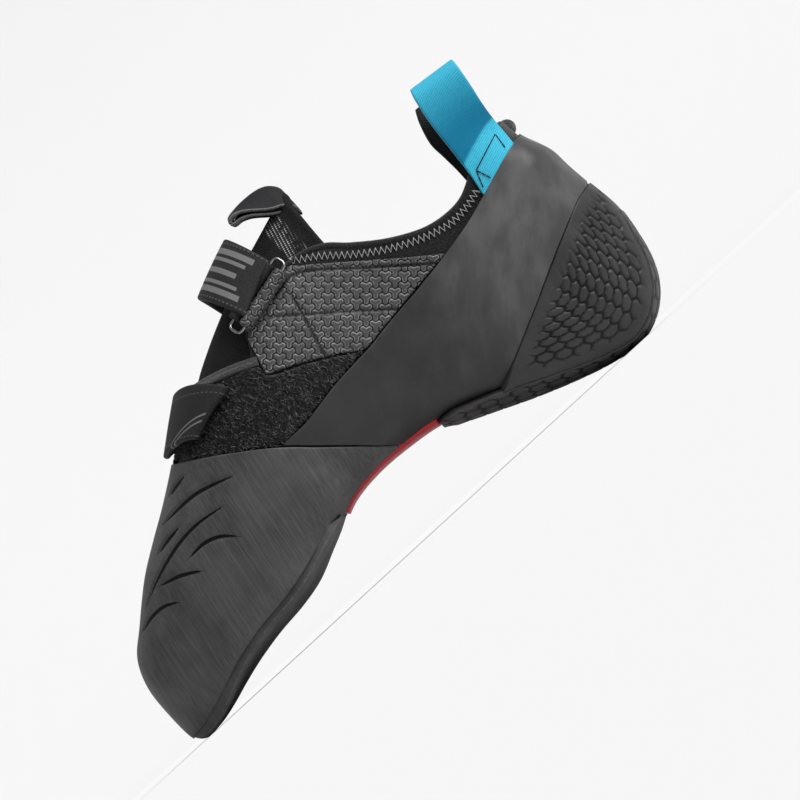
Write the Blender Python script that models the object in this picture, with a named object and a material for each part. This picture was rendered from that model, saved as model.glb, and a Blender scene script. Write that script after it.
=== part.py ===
"""Left climbing shoe with a downturned sole, standing empty on its toe and heel.

Part frame: metres, +Z up, toe towards -X, outer (lateral) side towards -Y, origin under the middle of the part.
Tables are in millimetres: x counts back from the toe tip, y is positive on the inner (medial) side, and z is the
height over the floor. place() moves them into the part frame.
"""

import bmesh
import bpy
import numpy as np

MM = 0.001

# Driving dimensions, millimetres.
LENGTH = 250.0
Y_MIDDLE = -0.85
GAP = 0.3
WALL = 2.0
CAP_THICK = 1.9
RAND_THICK = 1.7
CUP_THICK = 2.2
KEEL_THICK = 2.5
KEEL_BACK_THICK = 0.9
PLATE_THICK = 2.5
QUARTER_THICK = 1.2
PILE_THICK = 1.7
SOLE_THICK = 4.5
SOLE_ROUND = 1.3
TIP_ROUND = 3.0
TONGUE_THICK = 2.2
INSOLE_THICK = 1.8
STRAP_THICK = 2.4
WEBBING_THICK = 1.6
RING_RADIUS = 1.0
SLEEVE_THICK = 1.0
FOLD_THICK = 1.3
LOOP_LIFT = 2.4
LOOP_DEPTH = WALL + GAP
LOOP_TOP_Y = 20.0
LOOP_TUCK = 4.0
BAR_OUT = 12.0
EASE_DEG = 1.2
BAR_IN = 26.0
TAB_DROOP = 0.014
AROUND = 12
SEAM_STEPS = 3

# Sections of the last, outside of the upper's wall, toe to collar. Each lies in the plane of its lowest point B and
# its highest point T: B x, B z, T x, T z, lateral y, medial y, height share of the widest point, squareness below
# and above it, y of the crown, y of the plantar line.
SECTIONS = (
    (2.3, 14.5, 2.3, 14.5, 18.0, 18.0, 0.5, 2.0, 2.0, 18.0, 18.0),
    (2.6, 6.4, 2.6, 22.6, 10.2, 25.6, 0.5, 2.4, 2.2, 18.0, 18.0),
    (3.6, 3.0, 3.6, 28.2, 5.2, 29.6, 0.48, 2.8, 2.2, 17.8, 17.4),
    (6.0, 1.6, 6.0, 33.8, 0.6, 32.6, 0.46, 3.0, 2.2, 17.4, 16.6),
    (9.6, 1.6, 9.6, 39.4, -4.0, 35.0, 0.44, 3.2, 2.2, 16.8, 15.6),
    (15.0, 2.6, 15.0, 45.1, -9.6, 37.2, 0.43, 3.4, 2.25, 15.8, 13.8),
    (22.0, 4.8, 22.0, 51.7, -15.8, 39.0, 0.41, 3.6, 2.3, 14.4, 12.0),
    (30.5, 7.4, 30.5, 58.8, -22.2, 40.4, 0.39, 3.8, 2.3, 13.0, 9.5),
    (40.5, 10.0, 40.5, 65.5, -28.8, 41.4, 0.37, 4.0, 2.3, 11.5, 7.0),
    (52.0, 12.2, 52.0, 72.8, -34.6, 42.0, 0.36, 4.0, 2.3, 10.0, 4.0),
    (65.0, 13.9, 65.0, 81.9, -39.4, 42.0, 0.35, 4.0, 2.25, 8.0, 1.5),
    (78.0, 17.4, 78.0, 92.2, -42.5, 41.0, 0.34, 3.8, 2.2, 6.0, -0.5),
    (91.0, 23.6, 91.0, 101.8, -43.7, 38.8, 0.33, 3.5, 2.2, 4.5, -2.0),
    (104.0, 29.8, 103.0, 108.6, -43.0, 36.2, 0.33, 3.3, 2.2, 3.5, -3.0),
    (118.0, 32.0, 114.0, 114.0, -41.2, 33.6, 0.33, 3.2, 2.25, 2.8, -3.5),
    (133.0, 31.6, 124.5, 118.8, -38.6, 31.6, 0.33, 3.1, 2.35, 2.2, -3.2),
    (149.0, 29.3, 134.0, 122.6, -35.8, 30.3, 0.32, 3.0, 2.45, 1.8, -2.5),
    (165.0, 22.9, 142.5, 125.5, -33.2, 29.7, 0.31, 2.9, 2.55, 1.4, -1.6),
    (182.0, 15.7, 149.5, 127.9, -31.3, 29.5, 0.3, 2.8, 2.6, 1.0, -0.8),
    (198.0, 9.9, 154.5, 129.6, -30.2, 29.5, 0.29, 2.8, 2.6, 0.6, -0.3),
    (211.0, 6.2, 158.0, 131.2, -29.6, 29.4, 0.29, 2.9, 2.6, 0.4, 0.0),
    (222.0, 4.6, 160.3, 133.0, -29.3, 29.3, 0.29, 3.0, 2.55, 0.2, 0.0),
    (231.0, 7.2, 161.6, 135.0, -29.1, 29.1, 0.29, 2.8, 2.45, 0.0, 0.0),
    (238.0, 12.9, 162.4, 137.2, -28.9, 28.9, 0.29, 2.5, 2.3, 0.0, 0.0),
    (242.6, 20.6, 162.9, 139.5, -28.7, 28.7, 0.3, 2.3, 2.15, 0.0, 0.0),
    (245.3, 30.0, 163.2, 142.0, -28.4, 28.4, 0.3, 2.2, 2.0, 0.0, 0.0),
    (246.6, 40.0, 163.4, 144.5, -28.0, 28.0, 0.31, 2.4, 1.9, 0.0, 0.0),
    (246.4, 50.5, 163.5, 147.0, -27.5, 27.5, 0.32, 2.5, 1.8, 0.0, 0.0),
    (245.2, 61.0, 163.6, 149.5, -27.0, 27.0, 0.33, 2.8, 1.7, 0.0, 0.0),
    (243.6, 71.0, 163.7, 152.0, -26.5, 26.5, 0.34, 3.0, 1.7, 0.0, 0.0),
    (241.4, 80.5, 163.8, 154.5, -26.0, 26.0, 0.35, 3.1, 1.7, 0.0, 0.0),
    (240.0, 90.0, 163.9, 157.0, -25.6, 25.6, 0.36, 3.2, 1.7, 0.0, 0.0),
    (239.6, 100.0, 164.0, 160.0, -25.2, 25.2, 0.37, 3.2, 1.7, 0.0, 0.0),
)
FINE_FROM, FINE_TO = 19, 25

# Half sole, toe to waist: x, lateral edge y, medial edge y, height of the tread, rise of its lateral edge, rise of
# its medial edge.
SOLE = (
    (1.2, 13.6, 22.6, 0.0, 0.0, 0.0),
    (2.4, 7.4, 27.6, 0.0, 0.0, 0.0),
    (5.6, 1.6, 32.0, 0.0, 0.0, 0.0),
    (9.8, -3.8, 34.8, 0.0, 0.0, 0.0),
    (15.0, -9.0, 37.0, 0.0, 0.0, 0.0),
    (22.0, -14.8, 38.8, 2.7, 1.2, 0.4),
    (30.0, -20.4, 39.8, 5.5, 2.4, 1.0),
    (40.0, -26.4, 40.3, 8.3, 3.0, 1.6),
    (52.0, -32.2, 40.3, 10.7, 3.2, 2.0),
    (65.0, -36.8, 39.6, 12.3, 3.3, 2.2),
    (76.0, -39.0, 38.0, 14.9, 3.3, 2.3),
    (87.0, -39.6, 35.2, 19.9, 3.0, 2.4),
    (98.0, -38.0, 31.6, 25.2, 2.6, 2.4),
)
SOLE_END = SOLE[-1][0]

# Seams seen from the side, x and z.
CAP_SEAM = ((56.0, 92.0), (64.0, 83.8), (81.0, 73.0), (99.0, 60.0), (109.0, 51.0), (126.0, 36.0), (132.0, 31.0))
CAP_FOOT = (133.0, 29.0)
RAND_TOP = (
    (99.0, 60.6),
    (111.0, 60.7),
    (128.0, 63.8),
    (146.0, 65.4),
    (163.0, 68.0),
    (178.0, 70.0),
    (192.0, 71.6),
    (204.0, 74.6),
    (214.0, 78.3),
    (226.0, 82.6),
    (238.0, 85.6),
    (258.0, 86.5),
)
CUP_SEAM = (
    (172.0, 22.5),
    (180.0, 25.0),
    (199.0, 33.8),
    (215.0, 41.8),
    (229.0, 48.6),
    (241.0, 54.0),
    (258.0, 57.5),
)
KEEL_NOSE = ((149.4, 20.0), (149.2, 28.0), (151.0, 32.0), (155.0, 34.5))

# Width under the foot by section: section number, lateral y, medial y.
PLATE_BAR = ((12.3, -24.0, 18.0), (13.0, -25.0, 17.6), (14.0, -25.0, 16.6), (15.0, -23.6, 16.0), (16.2, -22.0, 16.0))
KEEL_BAR = (
    (15.6, -27.0, 23.0),
    (17.0, -26.5, 23.8),
    (18.0, -25.2, 23.8),
    (19.0, -22.6, 22.0),
    (20.0, -20.0, 20.0),
    (21.0, -18.4, 18.4),
    (22.0, -17.0, 17.0),
    (23.0, -15.4, 15.4),
    (24.0, -13.8, 13.8),
    (25.0, -12.4, 12.4),
    (26.0, -11.4, 11.4),
    (27.0, -10.6, 10.6),
)
KEEL_TOP = 40.0
PLATE_FRONT, PLATE_REAR = 98.5, 148.7
THROAT = (
    (76.0, 101.0),
    (80.0, 95.6),
    (88.0, 95.6),
    (98.0, 93.8),
    (108.0, 90.9),
    (112.4, 91.4),
    (115.4, 96.0),
    (118.4, 101.2),
    (124.0, 103.8),
    (134.0, 106.3),
    (144.0, 108.6),
    (152.0, 108.0),
    (160.0, 104.6),
    (167.0, 98.4),
    (178.0, 90.4),
    (190.0, 84.4),
    (200.0, 82.4),
    (209.0, 83.2),
    (218.0, 87.6),
    (228.0, 92.2),
    (237.0, 94.6),
    (258.0, 95.4),
)
QUARTER_TOP = ((118.0, 101.6), (128.0, 104.4), (144.0, 107.6), (153.0, 101.4), (163.0, 93.4), (176.0, 83.2), (190.6, 72.6))
PILE_TOP = ((145.0, 66.0), (137.0, 71.0), (126.0, 77.0), (113.0, 83.2))
PILE_FRONT = ((112.0, 89.6), (104.0, 91.8), (96.0, 94.2), (86.0, 96.6), (78.0, 97.6))
TONGUE_EDGE = (
    (70.0, 80.0),
    (84.0, 84.0),
    (108.0, 80.0),
    (116.0, 88.0),
    (126.0, 95.0),
    (146.0, 99.5),
    (160.4, 103.5),
)

# Insole: first and last section, depth under the last's outside at the forefoot and heel, and stops across, counted
# round the section from the plantar line.
INSOLE_FROM, INSOLE_TO = 5.0, 23.0
INSOLE_FORE_LIFT = 4.0
INSOLE_HEEL_LIFT = 3.4
INSOLE_WAYS = (-0.25, -0.17, -0.08, 0.0, 0.08, 0.17, 0.25)

# Straps: side points of the front and rear edge on the outer side, x of both on the crown, and side points on the
# inner side. Lift is the height of the strap over the last at the outer end, the crown and the inner end.
STRAP_LOWER = {
    "outer": ((77.6, 83.6), (98.0, 89.2)),
    "crown": (66.5, 85.0),
    "inner": ((83.0, 75.5), (101.0, 81.0)),
    "lift": (2.6, 3.2, 0.5),
}
STRAP_UPPER = {
    "outer": ((117.6, 107.4), (141.0, 112.8)),
    "crown": (111.5, 134.5),
    "inner": ((120.0, 84.0), (142.0, 92.0)),
    "lift": (5.2, 6.0, 2.4),
}
RING_FRONT = ((115.0, 101.8), (114.2, 106.8))
RING_REAR = ((145.0, 108.6), (143.8, 113.6))
RING_LIFT = 4.3

# Pull loops: side, front x at the base and top, width, height of the base and the top, height of its free start,
# height of the inner end, half gap across at the top.
LOOPS = {
    "pull_loop_lateral": (-1, 217.4, 222.6, 18.0, 79.0, 124.0, 97.0, 87.0, 4.6),
    "pull_loop_medial": (1, 216.6, 219.6, 18.0, 79.0, 119.5, 97.0, 87.0, 4.6),
}

# Tongue tab, from its lower end round the fold to its upper end: x, z of the inside.
TAB_PATH = (
    (159.4, 131.2),
    (153.0, 131.4),
    (146.0, 131.0),
    (142.4, 131.6),
    (141.4, 133.4),
    (143.6, 135.0),
    (148.0, 136.0),
    (154.0, 136.2),
    (158.4, 134.8),
    (160.6, 132.4),
)
TAB_WIDTH = 22.0
TAB_THICK = 1.2

COLOURS = {
    "upper": (0.022, 0.022, 0.024, 1.0),
    "insole": (0.10, 0.10, 0.11, 1.0),
    "outsole_forefoot": (0.032, 0.032, 0.034, 1.0),
    "arch_plate": (0.40, 0.018, 0.028, 1.0),
    "toe_cap": (0.042, 0.042, 0.044, 1.0),
    "slingshot_rand": (0.040, 0.040, 0.042, 1.0),
    "heel_cup": (0.036, 0.036, 0.038, 1.0),
    "heel_keel": (0.030, 0.030, 0.032, 1.0),
    "quarter_lateral": (0.085, 0.086, 0.09, 1.0),
    "quarter_medial": (0.085, 0.086, 0.09, 1.0),
    "pile_panel": (0.012, 0.012, 0.013, 1.0),
    "tongue": (0.020, 0.020, 0.022, 1.0),
    "tongue_tab": (0.020, 0.020, 0.022, 1.0),
    "strap_lower": (0.024, 0.024, 0.026, 1.0),
    "strap_upper": (0.026, 0.026, 0.028, 1.0),
    "strap_ring": (0.60, 0.60, 0.62, 1.0),
    "ring_sleeve": (0.085, 0.086, 0.09, 1.0),
    "pull_loop_lateral": (0.0, 0.25, 0.45, 1.0),
    "pull_loop_medial": (0.018, 0.018, 0.02, 1.0),
}


def clear_scene():
    for obj in list(bpy.data.objects):
        bpy.data.objects.remove(obj)
    for group in list(bpy.data.collections):
        bpy.data.collections.remove(group)


def collection(name):
    group = bpy.data.collections.new(name)
    bpy.context.scene.collection.children.link(group)
    return group


def place(points):
    """Table millimetres to part metres."""
    moved = np.asarray(points, float) - (LENGTH / 2, Y_MIDDLE, 0.0)
    return moved * MM


def blend(table, at):
    """Rows of a table joined smoothly, read at positions counted in rows."""
    table = np.asarray(table, float)
    at = np.atleast_1d(np.asarray(at, float))
    row = np.clip(np.floor(at).astype(int), 0, len(table) - 2)
    share = (at - row)[:, None]
    before, here, there, after = (table[np.clip(row + k, 0, len(table) - 1)] for k in (-1, 0, 1, 2))
    bend = 2 * before - 5 * here + 4 * there - after
    twist = 3 * (here - there) + after - before
    return here + 0.5 * share * (there - before + share * (bend + share * twist))


def smooth(points, steps=SEAM_STEPS):
    """A seam through its points, with corners rounded."""
    count = (len(points) - 1) * steps + 1
    return [tuple(p) for p in blend(points, np.linspace(0, len(points) - 1, count))]


def half_section(row, side):
    """One side of a section, plantar line to crown: length share, y and height share."""
    lat, med, belly, low, up, crown, centre = row[4:]
    edge = lat if side < 0 else med
    turn = np.linspace(0, np.pi / 2, 61)
    sine = np.clip(np.sin(turn), 0, 1)
    cosine = np.clip(np.cos(turn), 0, 1)
    y = np.concatenate([centre + (edge - centre) * sine ** (2 / low), (crown + (edge - crown) * cosine ** (2 / up))[1:]])
    rise = np.concatenate([belly * (1 - cosine ** (2 / low)), (belly + (1 - belly) * sine ** (2 / up))[1:]])
    reach = np.hypot(row[2] - row[0], row[3] - row[1])
    run = np.concatenate([[0], np.cumsum(np.hypot(np.diff(y), np.diff(rise) * reach))])
    return run / max(run[-1], 1e-9), y, rise


def ring_points(row, around):
    """A whole section: plantar line, medial side, crown, lateral side."""
    shares = np.arange(around + 1) / around
    halves = []
    for side in (1, -1):
        run, y, rise = half_section(row, side)
        t = np.interp(shares, run, rise)
        x = row[0] + (row[2] - row[0]) * t
        z = row[1] + (row[3] - row[1]) * t
        halves.append(np.stack([x, np.interp(shares, run, y), z], axis=1))
    return np.concatenate([halves[0], halves[1][-2:0:-1]])


def last_rows():
    """Every section, with one more between those round the heel."""
    whole = np.arange(len(SECTIONS), dtype=float)
    return np.sort(np.concatenate([whole, np.arange(FINE_FROM, FINE_TO) + 0.5]))


def last_grid():
    """The last as a grid of points and its outward normals."""
    rows = last_rows()
    grid = np.stack([ring_points(row, AROUND) for row in blend(SECTIONS, rows)])
    grid[0] = grid[0].mean(axis=0)
    lengthwise = np.gradient(grid, axis=0)
    across = np.roll(grid, -1, axis=1) - np.roll(grid, 1, axis=1)
    normal = np.cross(across, lengthwise)
    normal[0] = (-1, 0, 0)
    return grid, normal / np.linalg.norm(normal, axis=2, keepdims=True)


GRID, NORMAL = last_grid()


def locate(x, z, side):
    """Row and way round of the last's point seen at x, z: 0 plantar, 1 crown, 2 back at the plantar line."""
    rows = np.linspace(0.2, len(SECTIONS) - 1, 2400)
    table = blend(SECTIONS, rows)
    ahead = (x - table[:, 0]) * (table[:, 3] - table[:, 1]) - (z - table[:, 1]) * (table[:, 2] - table[:, 0])
    row = rows[np.argmax(ahead < 0)]
    section = blend(SECTIONS, row)[0]
    chord = section[2:4] - section[0:2]
    share = ((x, z) - section[0:2]) @ chord / (chord @ chord)
    run, _, rise = half_section(section, side)
    way = np.interp(share, rise, run)
    return row, way if side > 0 else 2 - way


def crown_row(x):
    rows = np.linspace(0.2, len(SECTIONS) - 1, 2400)
    return np.interp(x, blend(SECTIONS, rows)[:, 2], rows)


def on_last(row, way):
    section = blend(SECTIONS, row)[0]
    side = 1 if way <= 1 else -1
    run, y, rise = half_section(section, side)
    share = way if side > 0 else 2 - way
    t = np.interp(share, run, rise)
    x = section[0] + (section[2] - section[0]) * t
    z = section[1] + (section[3] - section[1]) * t
    return np.array([x, np.interp(share, run, y), z])


def lifted(row, way, lift):
    """A point this far off the last."""
    here = on_last(row, way)
    across = on_last(row, way + 0.02) - on_last(row, way - 0.02)
    lengthwise = on_last(row + 0.1, way) - on_last(row - 0.1, way)
    normal = np.cross(across, lengthwise)
    return here + normal / np.linalg.norm(normal) * lift


def add(name, mesh_data, group):
    mesh = bpy.data.meshes.new(name)
    bmesh.ops.recalc_face_normals(mesh_data, faces=mesh_data.faces)
    mesh_data.to_mesh(mesh)
    mesh_data.free()
    obj = bpy.data.objects.new(name, mesh)
    group.objects.link(obj)
    if name in COLOURS:
        material = bpy.data.materials.new(name)
        material.use_nodes = True
        material.node_tree.nodes["Principled BSDF"].inputs["Base Color"].default_value = COLOURS[name]
        mesh.materials.append(material)
    return obj


def shell(name, inner, outer, first=0):
    """Closed wall between two offsets of the last, open at its collar end and, past the first section, at its toe."""
    count, around = GRID.shape[:2]
    data = bmesh.new()
    layers = []
    for offset in (inner, outer):
        offset = np.broadcast_to(np.asarray(offset, float), (count,))
        points = place(GRID + NORMAL * offset[:, None, None])
        rings = [[data.verts.new(p) for p in ring] for ring in points[max(first, 1) :]]
        layers.append(rings)
        if not first:
            tip = data.verts.new(points[0, 0])
            for j in range(around):
                data.faces.new((tip, rings[0][j], rings[0][(j + 1) % around]))
        for a, b in zip(rings, rings[1:]):
            for j in range(around):
                k = (j + 1) % around
                data.faces.new((a[j], b[j], b[k]))
                data.faces.new((a[j], b[k], a[k]))
    for end in (0, -1) if first else (-1,):
        a, b = layers[0][end], layers[1][end]
        for j in range(around):
            k = (j + 1) % around
            data.faces.new((a[j], b[j], b[k], a[k]))
    return add(name, data, PARTS)


def sheet(name, grid, thick, group=None):
    """A grid of points given a thickness on its left side."""
    grid = np.asarray(grid, float)
    normal = np.cross(np.gradient(grid, axis=1), np.gradient(grid, axis=0))
    normal /= np.linalg.norm(normal, axis=2, keepdims=True)
    return slab(name, grid, grid + normal * thick, group)


def slab(name, lower, upper, group=None):
    """Solid between two grids of points of the same shape."""
    data = bmesh.new()
    layers = [[[data.verts.new(p) for p in row] for row in place(points)] for points in (lower, upper)]
    rows, cols = len(lower), len(lower[0])
    for layer in layers:
        for i in range(rows - 1):
            for j in range(cols - 1):
                data.faces.new((layer[i][j], layer[i + 1][j], layer[i + 1][j + 1], layer[i][j + 1]))
    rim = [(i, 0) for i in range(rows)]
    rim += [(rows - 1, j) for j in range(1, cols)]
    rim += [(i, cols - 1) for i in range(rows - 2, -1, -1)]
    rim += [(0, j) for j in range(cols - 2, 0, -1)]
    for here, there in zip(rim, rim[1:] + rim[:1]):
        a, b = (layers[0][p[0]][p[1]] for p in (here, there))
        c, d = (layers[1][p[0]][p[1]] for p in (there, here))
        data.faces.new((a, b, c, d))
    return add(name, data, group or PARTS)


def prism(name, outline, near=-90.0, far=90.0):
    """A side outline run across the shoe, as a cutter."""
    data = bmesh.new()
    face = data.faces.new([data.verts.new(place((x, near, z))) for x, z in outline])
    run = bmesh.ops.extrude_face_region(data, geom=[face])["geom"]
    moved = [item for item in run if isinstance(item, bmesh.types.BMVert)]
    bmesh.ops.translate(data, vec=(0, (far - near) * MM, 0), verts=moved)
    return cutter(add(name, data, CUTTERS))


def cutter(obj):
    obj.hide_render = True
    obj.display_type = "WIRE"
    return obj


def cut(obj, tool, operation="DIFFERENCE"):
    step = obj.modifiers.new(tool.name, "BOOLEAN")
    step.operation = operation
    step.solver = "EXACT"
    step.object = tool


def keep(obj, tool):
    cut(obj, tool, "INTERSECT")


def ease(obj):
    """Joins faces that are nearly in one plane, after the cuts."""
    step = obj.modifiers.new("ease", "DECIMATE")
    step.decimate_type = "DISSOLVE"
    step.angle_limit = np.radians(EASE_DEG)


def shifted(points, dx, dz):
    return [(x + dx, z + dz) for x, z in points]


def tube(name, path, radius, sides=8, bore=0.0, trim=0.0, group=None):
    """Round bar along a closed path, or a straight sleeve between two points, shortened by a trim."""
    path = np.asarray(path, float)
    turn = np.arange(sides) * 2 * np.pi / sides
    if bore:
        way = (path[1] - path[0]) / np.linalg.norm(path[1] - path[0])
        start, end = path[0] + way * trim, path[1] - way * trim
        stops = [(start, radius), (end, radius), (end, bore), (start, bore)]
        ahead = [way] * 4
        plane = np.array([0.0, 1.0, 0.3])
    else:
        stops = [(point, radius) for point in path]
        ahead = np.roll(path, -1, axis=0) - np.roll(path, 1, axis=0)
        ahead = ahead / np.linalg.norm(ahead, axis=1, keepdims=True)
        middle = path.mean(axis=0)
        plane = np.cross(path[0] - middle, path[len(path) // 3] - middle)
    data = bmesh.new()
    rings = []
    for (point, size), way in zip(stops, ahead):
        first = np.cross(plane, way)
        first /= np.linalg.norm(first)
        second = np.cross(way, first)
        spots = point + size * (np.cos(turn)[:, None] * first + np.sin(turn)[:, None] * second)
        rings.append([data.verts.new(p) for p in place(spots)])
    for a, b in zip(rings, rings[1:] + rings[:1]):
        for j in range(sides):
            k = (j + 1) % sides
            data.faces.new((a[j], b[j], b[k], a[k]))
    return add(name, data, group or PARTS)


def sole_grid(rise, inset=0.0, wings=0.0):
    """Points of the half sole's tread raised this far, toe to waist and lateral to medial, with level wings."""
    at = np.concatenate([np.arange(4), np.arange(4, len(SOLE) - 0.6, 0.5), [len(SOLE) - 1]])
    rows = blend(SOLE, at)
    q = np.array([-1, -0.93, -0.55, 0, 0.55, 0.93, 1.0])
    edge = np.abs(q) == 1
    grid = []
    for x, lat, med, floor, lat_rise, med_rise in rows:
        half = (med - lat) / 2 - np.where(edge, inset, 0)
        y = (lat + med) / 2 + q * half
        lift = np.where(q < 0, lat_rise, med_rise) * q * q
        z = max(floor, 0) + lift + rise + np.where(edge, inset * 0.8, 0)
        tip = TIP_ROUND * max(0, 1 - (x - SOLE[0][0]) / (4 * TIP_ROUND))
        tail = SOLE_ROUND * max(0, 1 - (SOLE_END - x) / (4 * SOLE_ROUND))
        row = np.stack([np.full(len(q), x + (tip - tail if inset else 0)), y, z], axis=1)
        if wings:
            row = np.concatenate([row[:1] - (0, wings, 0), row, row[-1:] + (0, wings, 0)])
        grid.append(row)
    return np.array(grid)


def build_sole():
    tread = sole_grid(0.0, inset=SOLE_ROUND)
    top = sole_grid(SOLE_THICK)
    slab("outsole_forefoot", tread, top)
    low = sole_grid(-40.0, wings=40.0)
    high = sole_grid(SOLE_THICK + GAP, wings=40.0)
    for grid in (low, high):
        grid[0, :, 0] = -20.0
        grid[-1, :, 0] = SOLE_END + GAP
    return cutter(slab("over_half_sole", low, high, CUTTERS))


def strap_grid(strap, steps=15):
    """Underside of a strap: one row for each step from the outer end over the crown to the inner end."""
    edges = []
    for k in (0, 1):
        outer = locate(*strap["outer"][k], -1)
        crown = (crown_row(strap["crown"][k]), 1.0)
        inner = locate(*strap["inner"][k], 1)
        edges.append((outer, crown, inner))
    grid = np.empty((steps, 4, 3))
    for i in range(steps):
        at = 2 * i / (steps - 1)
        lift = blend([(v,) for v in strap["lift"]], at)[0][0]
        front, rear = (blend(edge, at)[0] for edge in edges)
        for j in range(4):
            row, way = front + (rear - front) * j / 3
            grid[i, j] = lifted(row, way, lift)
    return grid


def build_straps():
    sheet("strap_lower", strap_grid(STRAP_LOWER), STRAP_THICK)
    return sheet("strap_upper", strap_grid(STRAP_UPPER), STRAP_THICK)


def build_ring(strap):
    """Wire ring: its lower bar in a sleeve of the quarter, its upper bar in the fold of the strap."""
    low_front, high_front, low_rear, high_rear = (
        lifted(*locate(x, z, -1), RING_LIFT) for x, z in RING_FRONT + RING_REAR
    )
    corners = [low_front, low_rear, high_rear, high_front]
    path = []
    for k, corner in enumerate(corners):
        for other, near in ((corners[k - 1], True), (corners[(k + 1) % 4], False)):
            way = other - corner
            start = corner + way / np.linalg.norm(way) * 2.0
            path += [start] if near else [0.25 * (path[-1] + 2 * corner + start), start]
    tube("strap_ring", path, RING_RADIUS)
    bore = RING_RADIUS + GAP
    tube("ring_sleeve", [low_front, low_rear], bore + SLEEVE_THICK, sides=12, bore=bore, trim=3.2)
    fold = cutter(tube("strap_fold", [high_front, high_rear], bore + FOLD_THICK, 12, bore, 3.4, CUTTERS))
    hole = cutter(tube("strap_bore", [high_front, high_rear], bore, 12, 0.2, -6.0, CUTTERS))
    cut(strap, fold, "UNION")
    cut(strap, hole)


def beside(x, z, side, lift):
    """The point at x, z on the last moved out by a lift."""
    guess = np.array([x, z], float)
    for _ in range(6):
        point = lifted(*locate(*guess, side), lift)
        guess += (x, z) - point[[0, 2]]
    return point


def build_loops():
    """Webbing that rises outside the collar, folds over at the top and runs down inside it."""
    for name, (side, x_base, x_top, width, z_base, z_top, z_free, z_inner, half) in LOOPS.items():
        columns = []
        for share in np.linspace(0, 1, 5):
            crest = z_top - WEBBING_THICK - half
            x_crest = x_top + share * width
            x_outer = x_base + share * width
            x_inner = x_base - LOOP_TUCK / 2 + share * (width - LOOP_TUCK)
            outer = [beside(x_outer, z, side, LOOP_LIFT) for z in np.linspace(z_base, z_free, 4)]
            inner = [beside(x_inner, z, side, -LOOP_DEPTH) for z in np.linspace(z_free, z_inner, 3)]
            fold = []
            for leg, start in ((1, outer[-1]), (-1, inner[0])):
                rise = []
                for height in (0.3, 0.65, 1.0):
                    ease = height * height * (3 - 2 * height)
                    y = start[1] + (side * (LOOP_TOP_Y + leg * half) - start[1]) * ease
                    rise.append((start[0] + (x_crest - start[0]) * ease, y, z_free + (crest - z_free) * height))
                fold += rise if leg > 0 else rise[::-1]
            bow = [(np.cos(turn), np.sin(turn)) for turn in np.linspace(0, np.pi, 7)[1:-1]]
            fold[3:3] = [(x_crest, side * (LOOP_TOP_Y + half * c), crest + half * w) for c, w in bow]
            columns.append(np.array([*outer, *fold, *inner]))
        grid = np.stack(columns, axis=1)
        sheet(name, grid if side < 0 else grid[:, ::-1], WEBBING_THICK)


def bar(name, table, spare=0.0):
    """Cutter along the plantar line, with its width from a table by section."""
    at = np.arange(table[0][0], table[-1][0] + 0.01, 0.35)
    widths = [np.interp(at, [row[0] for row in table], [row[k] for row in table]) for k in (1, 2)]
    layers = []
    for depth in (BAR_OUT, -BAR_IN):
        grid = []
        for section, lat, med in zip(blend(SECTIONS, at), widths[0] - spare, widths[1] + spare):
            chord = section[2:4] - section[0:2]
            x, z = section[0:2] - chord / np.linalg.norm(chord) * depth
            grid.append([(x, lat, z), (x, med, z)])
        layers.append(grid)
    return cutter(slab(name, layers[0], layers[1], CUTTERS))


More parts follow.
